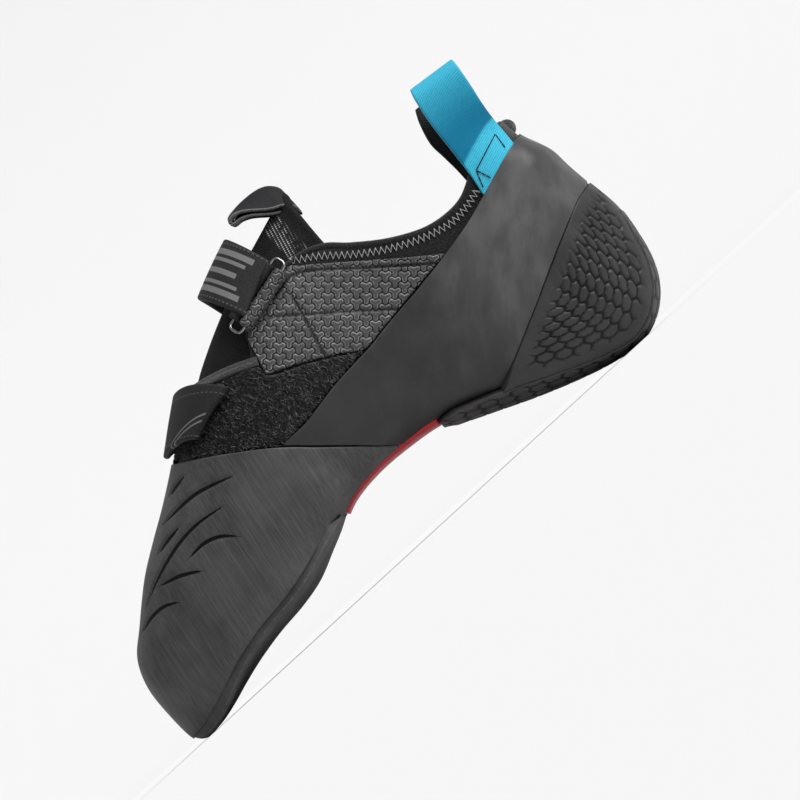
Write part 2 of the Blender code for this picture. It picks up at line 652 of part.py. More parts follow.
def build_panels(half_sole):
    floor = prism("floor_plane", [(-20, -40), (270, -40), (270, 0), (-20, 0)])
    far_up, far_down = 190.0, -40.0

    upper = shell("upper", -WALL, 0.0)
    slot = [(92, 45), (92, far_down), (206, far_down), (206, 30)]
    cut(upper, prism("under_foot", slot, -19.0, 16.0))
    cut(upper, prism("collar_and_throat", smooth(THROAT) + [(300, 95.4), (300, far_up), (76, far_up)]))
    cut(upper, half_sole)

    plate_room = bar("round_plate", PLATE_BAR, GAP)
    cap = shell("toe_cap", GAP, GAP + CAP_THICK)
    front = [CAP_FOOT, (CAP_FOOT[0], far_down), (-30, far_down), (-30, far_up), (CAP_SEAM[0][0], far_up)]
    keep(cap, prism("cap_outline", smooth(CAP_SEAM) + front))
    cut(cap, half_sole)
    cut(cap, plate_room)

    band = smooth(RAND_TOP) + shifted(smooth(CUP_SEAM), 0, GAP)[::-1]
    band += [(172.0, far_down), (CAP_FOOT[0] + GAP, far_down), (CAP_FOOT[0] + GAP, CAP_FOOT[1])]
    band += shifted(smooth(CAP_SEAM), GAP, GAP)[3 * SEAM_STEPS :][::-1]
    rand = shell("slingshot_rand", GAP, GAP + RAND_THICK)
    keep(rand, prism("rand_outline", band))
    cut(rand, plate_room)

    cup = shell("heel_cup", GAP, GAP + CUP_THICK)
    under = [(172.0 + GAP, far_down), (300, far_down), (300, CUP_SEAM[-1][1])]
    keep(cup, prism("cup_outline", under + smooth(CUP_SEAM)[::-1][:-1] + [(172.0 + GAP, 22.5)]))

    inner = 2 * GAP + CUP_THICK
    rows = last_rows()
    thin = np.clip((rows - 21.0) / 4.0, 0, 1)
    keel = shell("heel_keel", inner, inner + KEEL_THICK + (KEEL_BACK_THICK - KEEL_THICK) * thin)
    keep(keel, bar("keel_width", KEEL_BAR))
    keep(keel, prism("keel_ends", smooth(KEEL_NOSE) + [(240, 34.5), (240, KEEL_TOP), (300, KEEL_TOP), (300, -40), (149.4, -40)]))
    cut(keel, floor)

    plate = shell("arch_plate", GAP, GAP + PLATE_THICK)
    keep(plate, bar("plate_width", PLATE_BAR))
    sides = [(PLATE_FRONT, far_down), (PLATE_REAR, far_down), (PLATE_REAR, 60), (PLATE_FRONT, 60)]
    keep(plate, prism("plate_ends", sides))

    top = smooth(QUARTER_TOP)
    low = shifted(smooth(RAND_TOP), 0, GAP)[3 * SEAM_STEPS + 1 : 6 * SEAM_STEPS][::-1]
    front = shifted(smooth(PILE_TOP), 0, GAP)[:-1] + [(113.2, 87.0), (115.2, 94.6)]
    for name, near, far in (("quarter_lateral", -90, 0), ("quarter_medial", 0, 90)):
        panel = shell(name, GAP, GAP + QUARTER_THICK)
        keep(panel, prism(name + "_outline", top + low + front, near, far))

    seam = shifted(smooth(CAP_SEAM), GAP, GAP)[SEAM_STEPS : 3 * SEAM_STEPS]
    low = shifted(smooth(RAND_TOP), 0, GAP)[1 : 3 * SEAM_STEPS + 1]
    top = shifted(smooth(PILE_TOP), 0, -GAP)[1:]
    pile = shell("pile_panel", GAP, GAP + PILE_THICK)
    keep(pile, prism("pile_outline", seam + low + top + smooth(PILE_FRONT) + [(64.5, 92)], -90.0, 4.0))

    tongue = shell("tongue", -WALL - GAP - TONGUE_THICK, -WALL - GAP, first=8)
    keep(tongue, prism("tongue_outline", smooth(TONGUE_EDGE) + [(160.4, 150), (120, 150), (70, 110)]))


def build_insole():
    """Footbed on the last's inside, from under the toes to the heel, with its rims turned up."""
    at = np.arange(INSOLE_FROM, INSOLE_TO + 0.1, 1.25)
    lifts = np.interp(at, [11.0, 13.5], [INSOLE_FORE_LIFT, INSOLE_HEEL_LIFT])
    grid = [[lifted(row, way % 2, -lift) for way in INSOLE_WAYS] for row, lift in zip(at, lifts)]
    sheet("insole", grid, -INSOLE_THICK)


def build_tab():
    """Ribbon folded into a flat loop on the tongue's top edge, its fold towards the toe."""
    points = np.array(TAB_PATH)
    across = np.linspace(TAB_WIDTH / 2, -TAB_WIDTH / 2, 5)
    grid = [[(x, y, z - TAB_DROOP * y * y) for y in across] for x, z in points]
    sheet("tongue_tab", grid, TAB_THICK)


clear_scene()
PARTS = collection("climbing_shoe")
CUTTERS = collection("cutters")
build_panels(build_sole())
build_insole()
for part in PARTS.objects:
    if part.modifiers and part.name != "upper":
        ease(part)
build_ring(build_straps())
build_loops()
build_tab()
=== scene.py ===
"""Looks of a left climbing shoe: rubber, mesh, pile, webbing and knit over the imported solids."""

import math

import bmesh
import bpy
import numpy as np
from mathutils import Matrix


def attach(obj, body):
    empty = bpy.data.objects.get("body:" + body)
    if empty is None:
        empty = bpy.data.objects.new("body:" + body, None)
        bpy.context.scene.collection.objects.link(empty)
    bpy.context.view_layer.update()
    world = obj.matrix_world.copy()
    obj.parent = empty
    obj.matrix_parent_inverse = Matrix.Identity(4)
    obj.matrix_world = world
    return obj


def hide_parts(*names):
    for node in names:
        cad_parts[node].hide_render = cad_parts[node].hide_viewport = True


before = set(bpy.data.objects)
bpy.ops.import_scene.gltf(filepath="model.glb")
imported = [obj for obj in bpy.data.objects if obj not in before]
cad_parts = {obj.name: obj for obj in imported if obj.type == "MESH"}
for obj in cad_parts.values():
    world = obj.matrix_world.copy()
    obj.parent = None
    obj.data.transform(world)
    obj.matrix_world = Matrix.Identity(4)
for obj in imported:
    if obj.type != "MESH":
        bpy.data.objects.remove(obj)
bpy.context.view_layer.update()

# Sizes in millimetres, as in the part: x back from the toe tip, y to the inner side, z up.
MM = 0.001
LENGTH, Y_MIDDLE = 250.0, -0.85
ROW_STEP, HALF = 0.1, 160
# What lies on the sock starts this far off the last.
GAP = 0.3
# Points closer than this, in metres, are one; a tube ends in a ring of this radius; no rim is this far off.
WELD, POINT, FAR = 2e-6, 1e-4, 1e3
# A direction that no thread follows.
TILT = (0.13, 0.31, 0.94)

# Sections of the last: plantar x and z, crown x and z, lateral y, medial y, height share of the widest
# point, squareness below and above it, y of the crown, y of the plantar line.
SECTIONS = (
    (2.3, 14.5, 2.3, 14.5, 18.0, 18.0, 0.5, 2.0, 2.0, 18.0, 18.0),
    (2.6, 6.4, 2.6, 22.6, 10.2, 25.6, 0.5, 2.4, 2.2, 18.0, 18.0),
    (3.6, 3.0, 3.6, 28.2, 5.2, 29.6, 0.48, 2.8, 2.2, 17.8, 17.4),
    (6.0, 1.6, 6.0, 33.8, 0.6, 32.6, 0.46, 3.0, 2.2, 17.4, 16.6),
    (9.6, 1.6, 9.6, 39.4, -4.0, 35.0, 0.44, 3.2, 2.2, 16.8, 15.6),
    (15.0, 2.6, 15.0, 45.1, -9.6, 37.2, 0.43, 3.4, 2.25, 15.8, 13.8),
    (22.0, 4.8, 22.0, 51.7, -15.8, 39.0, 0.41, 3.6, 2.3, 14.4, 12.0),
    (30.5, 7.4, 30.5, 58.8, -22.2, 40.4, 0.39, 3.8, 2.3, 13.0, 9.5),
    (40.5, 10.0, 40.5, 65.5, -28.8, 41.4, 0.37, 4.0, 2.3, 11.5, 7.0),
    (52.0, 12.2, 52.0, 72.8, -34.6, 42.0, 0.36, 4.0, 2.3, 10.0, 4.0),
    (65.0, 13.9, 65.0, 81.9, -39.4, 42.0, 0.35, 4.0, 2.25, 8.0, 1.5),
    (78.0, 17.4, 78.0, 92.2, -42.5, 41.0, 0.34, 3.8, 2.2, 6.0, -0.5),
    (91.0, 23.6, 91.0, 101.8, -43.7, 38.8, 0.33, 3.5, 2.2, 4.5, -2.0),
    (104.0, 29.8, 103.0, 108.6, -43.0, 36.2, 0.33, 3.3, 2.2, 3.5, -3.0),
    (118.0, 32.0, 114.0, 114.0, -41.2, 33.6, 0.33, 3.2, 2.25, 2.8, -3.5),
    (133.0, 31.6, 124.5, 118.8, -38.6, 31.6, 0.33, 3.1, 2.35, 2.2, -3.2),
    (149.0, 29.3, 134.0, 122.6, -35.8, 30.3, 0.32, 3.0, 2.45, 1.8, -2.5),
    (165.0, 22.9, 142.5, 125.5, -33.2, 29.7, 0.31, 2.9, 2.55, 1.4, -1.6),
    (182.0, 15.7, 149.5, 127.9, -31.3, 29.5, 0.3, 2.8, 2.6, 1.0, -0.8),
    (198.0, 9.9, 154.5, 129.6, -30.2, 29.5, 0.29, 2.8, 2.6, 0.6, -0.3),
    (211.0, 6.2, 158.0, 131.2, -29.6, 29.4, 0.29, 2.9, 2.6, 0.4, 0.0),
    (222.0, 4.6, 160.3, 133.0, -29.3, 29.3, 0.29, 3.0, 2.55, 0.2, 0.0),
    (231.0, 7.2, 161.6, 135.0, -29.1, 29.1, 0.29, 2.8, 2.45, 0.0, 0.0),
    (238.0, 12.9, 162.4, 137.2, -28.9, 28.9, 0.29, 2.5, 2.3, 0.0, 0.0),
    (242.6, 20.6, 162.9, 139.5, -28.7, 28.7, 0.3, 2.3, 2.15, 0.0, 0.0),
    (245.3, 30.0, 163.2, 142.0, -28.4, 28.4, 0.3, 2.2, 2.0, 0.0, 0.0),
    (246.6, 40.0, 163.4, 144.5, -28.0, 28.0, 0.31, 2.4, 1.9, 0.0, 0.0),
    (246.4, 50.5, 163.5, 147.0, -27.5, 27.5, 0.32, 2.5, 1.8, 0.0, 0.0),
    (245.2, 61.0, 163.6, 149.5, -27.0, 27.0, 0.33, 2.8, 1.7, 0.0, 0.0),
    (243.6, 71.0, 163.7, 152.0, -26.5, 26.5, 0.34, 3.0, 1.7, 0.0, 0.0),
    (241.4, 80.5, 163.8, 154.5, -26.0, 26.0, 0.35, 3.1, 1.7, 0.0, 0.0),
    (240.0, 90.0, 163.9, 157.0, -25.6, 25.6, 0.36, 3.2, 1.7, 0.0, 0.0),
    (239.6, 100.0, 164.0, 160.0, -25.2, 25.2, 0.37, 3.2, 1.7, 0.0, 0.0),
)
LAST_ROW = len(SECTIONS) - 1

# Half sole: x, y of its lateral and of its medial edge, height of the tread, rise of its lateral and of its
# medial edge. Its top edge: x and z.
SOLE = (
    (1.5, 13.8, 22.4, 4.4, 0.0, 0.0),
    (2.4, 8.0, 27.2, 2.7, 0.0, 0.0),
    (4.0, 4.0, 30.2, 1.1, 0.0, 0.0),
    (6.4, 0.4, 32.6, 0.0, 0.0, 0.0),
    (9.8, -3.8, 34.8, 0.2, 0.1, 0.1),
    (15.0, -9.0, 37.0, 1.0, 0.5, 0.3),
    (22.0, -14.8, 38.8, 2.9, 1.2, 0.5),
    (30.0, -20.4, 39.8, 5.5, 2.2, 1.0),
    (40.0, -26.4, 40.3, 8.3, 3.0, 1.6),
    (52.0, -32.2, 40.3, 10.7, 3.2, 2.0),
    (65.0, -36.8, 39.6, 12.3, 3.3, 2.2),
    (76.0, -39.0, 38.0, 14.9, 3.3, 2.3),
    (87.0, -39.7, 35.2, 19.9, 2.2, 2.2),
    (93.5, -38.2, 33.2, 22.9, 1.5, 1.8),
    (98.0, -35.0, 29.6, 25.0, 0.9, 1.4),
)
SOLE_END = 98.0
SOLE_TOP = (
    (1.2, 5.2), (8.0, 5.8), (13.3, 7.3), (21.9, 10.3), (35.6, 15.4), (48.3, 18.4), (62.7, 20.2),
    (73.9, 22.8), (83.7, 26.2), (91.6, 27.8), (98.1, 26.9),
)

# Seams seen from the side, x and z.
CAP_SEAM = (
    (56.0, 92.0), (64.0, 83.8), (81.0, 73.0), (99.0, 60.0), (109.0, 51.0), (126.0, 36.0), (132.0, 31.0),
)
CUP_SEAM = (
    (172.0, 22.5), (180.0, 25.0), (199.0, 33.8), (215.0, 41.8), (229.0, 48.6), (241.0, 54.0), (258.0, 57.5),
)
COLLAR = (
    (76.0, 101.0), (80.0, 95.6), (88.0, 95.6), (98.0, 93.8), (108.0, 90.9), (112.4, 91.4), (115.4, 96.0),
    (118.4, 101.2), (124.0, 103.8), (134.0, 106.3), (144.0, 108.6), (152.0, 108.0), (160.0, 104.6),
    (167.0, 98.4), (178.0, 90.4), (190.0, 84.4), (200.0, 82.4), (209.0, 83.2), (218.0, 87.6), (228.0, 92.2),
    (237.0, 94.6), (258.0, 95.4),
)
# Red plate and heel tread: row, y of the lateral and of the medial edge.
PLATE_BAR = (
    (12.3, -24.0, 18.0), (13.0, -25.0, 17.6), (14.0, -25.0, 16.6), (15.0, -23.6, 16.0), (16.2, -22.0, 16.0),
)
KEEL_BAR = (
    (15.6, -27.0, 23.0), (17.0, -26.5, 23.8), (18.0, -25.2, 23.8), (19.0, -22.6, 22.0), (20.0, -20.0, 20.0),
    (21.0, -18.4, 18.4), (22.0, -17.0, 17.0), (23.0, -15.4, 15.4), (24.0, -13.8, 13.8), (25.0, -12.4, 12.4),
    (26.0, -11.4, 11.4), (27.0, -10.6, 10.6),
)
# Lower edge of the tongue, seen from the side.
TONGUE_EDGE = (
    (70.0, 80.0), (84.0, 84.0), (108.0, 80.0), (116.0, 88.0), (126.0, 95.0), (146.0, 99.5), (161.0, 103.5),
)

# Pairs of side points, lower edge and upper edge of a panel, front to back.
RAND_PAIRS = (
    ((99.2, 60.3), (99.2, 60.5)),
    ((103.0, 57.0), (104.0, 60.6)),
    ((109.0, 51.4), (111.0, 60.7)),
    ((117.6, 43.8), (119.5, 62.2)),
    ((126.0, 36.4), (128.0, 63.8)),
    ((132.4, 31.6), (138.0, 64.8)),
)
RAND_BACK_PAIRS = (
    ((172.0, 22.8), (178.0, 70.0)),
    ((180.0, 25.3), (185.0, 71.0)),
    ((199.0, 34.1), (203.0, 74.6)),
    ((215.0, 42.1), (217.0, 79.0)),
    ((229.0, 48.9), (229.5, 83.6)),
    ((240.0, 53.9), (238.0, 86.0)),
)
QUARTER_PAIRS = (
    ((112.4, 83.6), (115.6, 95.4)),
    ((117.6, 81.2), (119.6, 101.8)),
    ((126.0, 77.3), (131.0, 105.0)),
    ((136.6, 71.5), (144.2, 107.5)),
    ((145.6, 66.0), (149.4, 104.2)),
    ((155.0, 67.1), (157.0, 98.3)),
    ((166.0, 68.7), (168.0, 89.6)),
    ((178.0, 70.3), (179.0, 80.9)),
    ((190.0, 71.7), (190.6, 72.4)),
)
PILE_PAIRS = (
    ((144.6, 65.7), (145.0, 66.1)),
    ((136.0, 65.0), (137.4, 70.4)),
    ((124.0, 63.4), (126.0, 76.7)),
    ((111.0, 61.2), (113.6, 82.6)),
    ((100.2, 61.0), (112.0, 88.6)),
    ((90.4, 66.9), (104.0, 91.8)),
    ((81.2, 73.4), (95.0, 94.4)),
    ((73.0, 78.7), (88.0, 96.1)),
)

# Upper edge of the rand, and its soft dents: x, z, depth, length and height.
RAND_TOP = (
    (99.2, 60.5), (111.0, 60.7), (128.0, 63.8), (146.0, 65.4), (167.0, 68.5), (178.0, 70.0), (192.0, 72.2),
    (202.0, 74.4), (212.0, 77.2), (222.0, 80.8), (231.0, 84.0), (238.0, 86.0), (246.0, 87.4),
)
RAND_DENTS = (
    (150.0, 50.0, 0.7, 8.0, 7.0),
    (176.0, 55.0, 0.6, 10.0, 6.0),
    (124.0, 52.0, 0.45, 6.0, 7.0),
    (196.0, 60.0, 0.5, 5.0, 10.0),
    (212.0, 66.0, -0.5, 6.0, 9.0),
    (224.0, 62.0, 0.5, 5.0, 9.0),
)
# Seams and bindings seen from the side, and the turn of the buffing lines in degrees.
ZIGZAG = (
    (147.0, 108.2), (156.0, 102.6), (165.0, 95.0), (176.0, 87.6), (188.0, 82.0), (199.0, 79.0),
    (208.0, 79.4), (215.0, 81.4),
)
QUARTER_SEAMS = (
    ((127.0, 98.6), (146.0, 83.5), (165.0, 68.0)),
    ((139.0, 99.4), (136.0, 87.0), (133.0, 74.3)),
    ((122.0, 101.7), (134.0, 103.0), (146.5, 103.0), (166.0, 87.6), (187.0, 70.7)),
)
PILE_BAND = ((113.6, 89.4), (104.0, 93.6), (92.0, 97.2), (82.0, 98.4))
BUFF_TURN = 9.5

# Slits buffed into the toe rubber, as side points.
SLITS = (
    ((56.0, 75.4), (60.4, 76.3), (65.2, 76.9)),
    ((47.3, 69.2), (63.1, 69.2), (78.4, 64.6)),
    ((39.0, 62.5), (45.0, 63.8), (51.2, 64.3)),
    ((22.0, 51.0), (31.5, 55.6), (44.8, 59.6), (56.6, 60.6), (68.4, 58.8)),
    ((46.5, 53.3), (53.5, 53.7), (60.0, 51.5), (65.3, 47.0)),
    ((31.7, 53.0), (39.0, 51.0), (46.7, 46.8)),
    ((14.6, 45.2), (20.3, 47.0), (26.7, 46.8), (32.0, 44.3)),
)

# Straps: front and rear corner of each end, x of both edges at the crown, lift off the last.
STRAP_LOWER = {
    "outer": ((77.6, 83.2), (99.6, 89.0)),
    "crown": (66.5, 85.0),
    "inner": ((83.0, 75.5), (101.0, 81.0)),
    "lift": (2.6, 3.2, 0.5),
}
STRAP_UPPER = {
    "outer": ((121.0, 103.8), (141.5, 113.4)),
    "crown": (115.6, 137.5),
    "inner": ((120.0, 84.0), (142.0, 92.0)),
    "lift": (4.4, 6.0, 2.4),
}
STRAP_THICK = 2.4
RING_CORNERS = ((115.4, 100.8), (145.2, 108.6), (144.0, 113.4), (114.2, 105.6))
RING_LIFT = 4.3

# Pull loops: side; share of the height, front x and rear x; heights of the base, the free part and the
# top's front edge, and the fall of the top to its rear edge.
LOOPS = {
    "pull_loop_lateral": (
        -1,
        (
            (0.0, 215.5, 235.4),
            (0.2, 217.0, 235.9),
            (0.41, 217.9, 236.5),
            (0.69, 219.0, 239.0),
            (0.9, 220.6, 240.4),
            (1.0, 222.2, 240.8),
        ),
        (79.0, 93.4, 125.6, 2.0),
    ),
    "pull_loop_medial": (
        1,
        (
            (0.0, 215.4, 234.6),
            (0.3, 215.8, 236.2),
            (0.5, 215.4, 238.4),
            (0.68, 215.0, 239.6),
            (0.88, 217.2, 239.8),
            (1.0, 220.2, 238.4),
        ),
        (79.0, 93.4, 120.4, 1.0),
    ),
}
LOOP_STITCHES = (
    ((221.7, 81.2), (219.6, 86.9)),
    ((219.6, 86.9), (233.8, 92.1)),
    ((233.8, 92.1), (233.2, 86.0)),
    ((219.6, 86.9), (217.2, 80.4)),
)
LOOP_TOP_Y, LOOP_FOLD, LOOP_DEPTH = 21.4, (4.6, 6.0), 2.3
WEBBING_THICK = 1.6
# Tongue tab: middle line of the folded ribbon.
TAB_PATH = (
    (160.4, 131.4), (156.0, 134.3), (150.0, 135.5), (145.0, 135.0), (142.0, 134.4), (140.9, 134.8),
    (141.4, 135.6), (143.2, 136.1), (148.0, 136.6), (154.0, 136.3), (158.4, 134.9), (161.2, 131.8),
    (161.4, 128.6),
)
TAB_WIDTH, TAB_THICK = 22.0, 1.2

# The photograph's right and up, as x and z of the standing shoe.
RIGHT, UP = np.array((0.7373, -0.6755)), np.array((0.6755, 0.7373))


# Lines and the last


def place(points):
    """Table millimetres to part metres."""
    return (np.asarray(points, float) - (LENGTH / 2, Y_MIDDLE, 0.0)) * MM


def unit(vectors):
    return vectors / np.linalg.norm(vectors, axis=-1, keepdims=True)


def ease(value, low, high):
    share = np.clip((value - low) / (high - low), 0, 1)
    return share * share * (3 - 2 * share)


def run_of(points, axis=0):
    """Length along lines of points, from 0."""
    run = np.cumsum(np.linalg.norm(np.diff(points, axis=axis), axis=-1), axis=axis)
    return np.concatenate([np.zeros_like(run.take([0], axis)), run], axis=axis)


def blend(table, at):
    """Rows of a table joined smoothly, read at positions counted in rows."""
    table = np.asarray(table, float)
    at = np.atleast_1d(np.asarray(at, float))
    row = np.clip(np.floor(at).astype(int), 0, len(table) - 2)
    share = (at - row)[:, None]
    before, here, there, after = (table[np.clip(row + k, 0, len(table) - 1)] for k in (-1, 0, 1, 2))
    bend = 2 * before - 5 * here + 4 * there - after
    twist = 3 * (here - there) + after - before
    return here + 0.5 * share * (there - before + share * (bend + share * twist))


def reread(points, count):
    """A line of points read again, evenly by its length."""
    run = run_of(points)
    at = np.linspace(0, run[-1], count)
    return np.stack([np.interp(at, run, column) for column in points.T], axis=1)


def curve(points, count):
    """A smooth line through points, evenly read by its length."""
    return reread(blend(points, np.linspace(0, len(points) - 1, 40 * len(points))), count)


def soften(points, count, width):
    """A line of points read evenly by its length and rounded over a window of readings."""
    ends = ((width // 2, width // 2), (0, 0))
    wide = np.pad(reread(points, count), ends, "reflect", reflect_type="odd")
    window = np.hanning(width + 2)[1:-1]
    smooth = [np.convolve(column, window / window.sum(), "valid") for column in wide.T]
    return reread(np.stack(smooth, axis=1), count)


def half_section(row, side):
    """One side of a section, plantar line to crown: length share, y and height share."""
    lat, med, belly, low, up, crown, centre = row[4:]
    edge = lat if side < 0 else med
    turn = np.linspace(0, np.pi / 2, 181)
    sine, cosine = np.clip(np.sin(turn), 0, 1), np.clip(np.cos(turn), 0, 1)
    below = centre + (edge - centre) * sine ** (2 / low), belly * (1 - cosine ** (2 / low))
    above = crown + (edge - crown) * cosine ** (2 / up), belly + (1 - belly) * sine ** (2 / up)
    y, rise = (np.concatenate([lower, upper[1:]]) for lower, upper in zip(below, above))
    reach = np.hypot(row[2] - row[0], row[3] - row[1])
    run = np.concatenate([[0], np.cumsum(np.hypot(np.diff(y), np.diff(rise) * reach))])
    return run / max(run[-1], 1e-9), y, rise


def last_net():
    """The last as a net: rows along the foot, ways round it from the plantar line over the inner side."""
    rows = blend(SECTIONS, np.arange(0, LAST_ROW + 1e-6, ROW_STEP))
    shares = np.linspace(0, 1, HALF + 1)
    net = np.empty((len(rows), 2 * HALF, 3))
    for i, row in enumerate(rows):
        for side in (1, -1):
            run, y, rise = half_section(row, side)
            t = np.interp(shares, run, rise)
            x, z = row[0] + (row[2] - row[0]) * t, row[1] + (row[3] - row[1]) * t
            spots = np.stack([x, np.interp(shares, run, y), z], axis=1)
            if side > 0:
                net[i, : HALF + 1] = spots
            else:
                net[i, HALF:] = spots[:0:-1]
    return net


NET = last_net()
FINE_ROWS = np.linspace(0.2, LAST_ROW, 3200)
FINE_SECTIONS = blend(SECTIONS, FINE_ROWS)
# Fine rows whose plantar line runs under the foot, and those where it climbs the back of the heel.
UNDERSIDE, HEEL_BACK = slice(2200), slice(2000, None)


def cubic(f):
    """Shares of four neighbours in a smooth line's point between the middle two."""
    return (
        -0.5 * f + f**2 - 0.5 * f**3,
        1 - 2.5 * f**2 + 1.5 * f**3,
        0.5 * f + 2 * f**2 - 1.5 * f**3,
        0.5 * (f**3 - f**2),
    )


def surface(row, way):
    """Points of the last. Ways count 0 plantar, 1 crown, 2 plantar again; the outer side is also -1 to 0."""
    row, way = np.broadcast_arrays(np.asarray(row, float), np.asarray(way, float))
    r = np.clip(row / ROW_STEP, 0, len(NET) - 1.001)
    c = np.mod(way, 2) * HALF
    i, j = np.floor(r).astype(int), np.floor(c).astype(int)
    along, round_it = cubic(r - i), cubic(c - j)
    out = np.zeros(row.shape + (3,))
    for a in range(4):
        line = np.clip(i + a - 1, 0, len(NET) - 1)
        for b in range(4):
            out += (along[a] * round_it[b])[..., None] * NET[line, (j + b - 1) % (2 * HALF)]
    return out


def outward(row, way):
    """Unit normals of the last; at the toe's pole they all point ahead."""
    free = ease(np.asarray(row, float), 0.0, 0.5)[..., None]
    row = np.clip(row, 0.15, LAST_ROW - 0.15)
    across = surface(row, way + 0.012) - surface(row, way - 0.012)
    ahead = surface(row + 0.12, way) - surface(row - 0.12, way)
    return unit(unit(np.cross(across, ahead)) * free + np.array((-1.0, 0.0, 0.0)) * (1 - free))


def skin(row, way, lift=0.0):
    """Points this far off the last."""
    row, way = np.broadcast_arrays(np.asarray(row, float), np.asarray(way, float))
    return surface(row, way) + outward(row, way) * np.broadcast_to(lift, row.shape)[..., None]


def find(x, z, side):
    """Row and way of the last's points seen from the side at x, z."""
    x, z = np.atleast_1d(x).astype(float), np.atleast_1d(z).astype(float)
    low_x, low_z, top_x, top_z = FINE_SECTIONS[:, :4].T
    ahead = (x[:, None] - low_x) * (top_z - low_z) - (z[:, None] - low_z) * (top_x - low_x)
    first = np.clip(np.argmax(ahead < 0, axis=1), 1, None)
    every = np.arange(len(x))
    before, after = ahead[every, first - 1], ahead[every, first]
    share = np.clip(before / (before - after + 1e-12), 0, 1)
    rows = FINE_ROWS[first - 1] + (FINE_ROWS[1] - FINE_ROWS[0]) * share
    ways = []
    for section, point in zip(blend(SECTIONS, rows), np.stack([x, z], axis=1)):
        chord = section[2:4] - section[0:2]
        share = (point - section[0:2]) @ chord / (chord @ chord)
        run, _, rise = half_section(section, side)
        ways.append(side * np.interp(share, rise, run))
    return rows, np.array(ways)


def spot(x, z, side, lift=0.0):
    """Row and way whose point off the last is seen from the side at x, z."""
    aim = np.stack([np.atleast_1d(x), np.atleast_1d(z)], axis=1).astype(float)
    guess = aim.copy()
    for _ in range(5):
        rows, ways = find(guess[:, 0], guess[:, 1], side)
        guess = guess + aim - skin(rows, ways, lift)[:, [0, 2]]
    return rows, ways


def crown_row(x):
    return np.interp(x, FINE_SECTIONS[:, 2], FINE_ROWS)


# Nets on the last


def stops(length, step, rims=(True, True)):
    """Shares along a line, closer together near a rim."""
    near = np.array([0.0, 0.12, 0.35, 0.7, 1.2, 1.8])
    start = near if rims[0] else near[:1]
    end = length - (near if rims[1] else near[:1])[::-1]
    count = max(int((end[0] - start[-1]) / step), 1)
    inner = np.linspace(start[-1], end[0], count + 1)[1:-1]
    return np.concatenate([start, inner, end]) / length


def by_length(rows, ways, shares, lift=0.0):
    """Lines of rows and ways, read again at shares of their real length."""
    run = run_of(skin(rows, ways, lift), 1)
    at = [line[-1] * shares for line in run]
    return [np.array([np.interp(a, r, line) for a, r, line in zip(at, run, lines)]) for lines in (rows, ways)]


def side_ways(rows, test, lift, top=0.7, count=900):
    """Ways on the outer and the inner side where a test of each row's points turns true."""
    ways = np.linspace(0.0, top, count)
    found = []
    for side in (-1, 1):
        hit = test(skin(rows[:, None], side * ways[None], lift), side)
        first = np.clip(np.argmax(hit, axis=1), 1, None)
        found.append(side * np.where(hit.any(axis=1), ways[first], top))
    return np.array(found)


def bar_ways(bar, rows, lift, top=0.7):
    """Ways of the edges of a strip under the foot, from a table of their y."""
    table = np.array(bar)

    def outside(points, side):
        edge = np.interp(rows, table[:, 0], table[:, 1 if side < 0 else 2])
        return side * points[..., 1] > side * edge[:, None]

    return side_ways(rows, outside, lift, top)


def between(rows, edges, shares):
    """Rows and ways of a net from its outer to its inner edge."""
    low, high = edges
    ways = low[:, None] + (high - low)[:, None] * shares[None]
    return np.broadcast_to(rows[:, None], ways.shape), ways


def panel_lines(pairs, side, lift):
    """Rows and ways of the lower and upper edge of a panel."""
    edges = []
    for k in (0, 1):
        points = blend([pair[k] for pair in pairs], np.linspace(0, len(pairs) - 1, 6 * len(pairs) - 5))
        edges.append(np.stack(spot(points[:, 0], points[:, 1], side, lift), axis=1))
    return edges


def panel_net(low, high, columns, shares, lift):
    """A net between two edges given as rows and ways."""
    count = len(low)
    at = np.linspace(0, count - 1, 40 * count)
    low, high = blend(low, at), blend(high, at)
    run = run_of(skin((low[:, 0] + high[:, 0]) / 2, (low[:, 1] + high[:, 1]) / 2))
    at = columns * run[-1]
    low, high = (np.stack([np.interp(at, run, edge[:, k]) for k in (0, 1)], axis=1) for edge in (low, high))
    t = np.linspace(0, 1, 60)[None]
    rows, ways = (low[:, k, None] + (high - low)[:, k, None] * t for k in (0, 1))
    return by_length(rows, ways, shares, lift)


def to_rim(points, sides=("first", "last", "left", "right")):
    """Distance of each point of a net from the nearest of its named sides, along the net."""
    far = np.full(points.shape[:2], FAR)
    for axis, low, high in ((0, "first", "last"), (1, "left", "right")):
        run = run_of(points, axis)
        if low in sides:
            far = np.minimum(far, run)
        if high in sides:
            far = np.minimum(far, run.take([-1], axis) - run)
    return far


def roundover(distance, radius):
    """0 at a rim, 1 further in than the radius, along a quarter circle."""
    share = 1 - np.clip(distance / radius, 0, 1)
    return np.sqrt(np.clip(1 - share * share, 0, 1))


def raised(net, relief, rim):
    """Outer and inner net of a piece that lies on the sock, rounded over at its rim."""
    base = skin(*net, GAP)
    return skin(*net, GAP + relief * roundover(to_rim(base), rim)), base


def slab(net, middle, half):
    """Outer and inner net of a piece that reaches equally far to both sides of its middle."""
    return [skin(*net, middle + sign * half) for sign in (1, -1)]


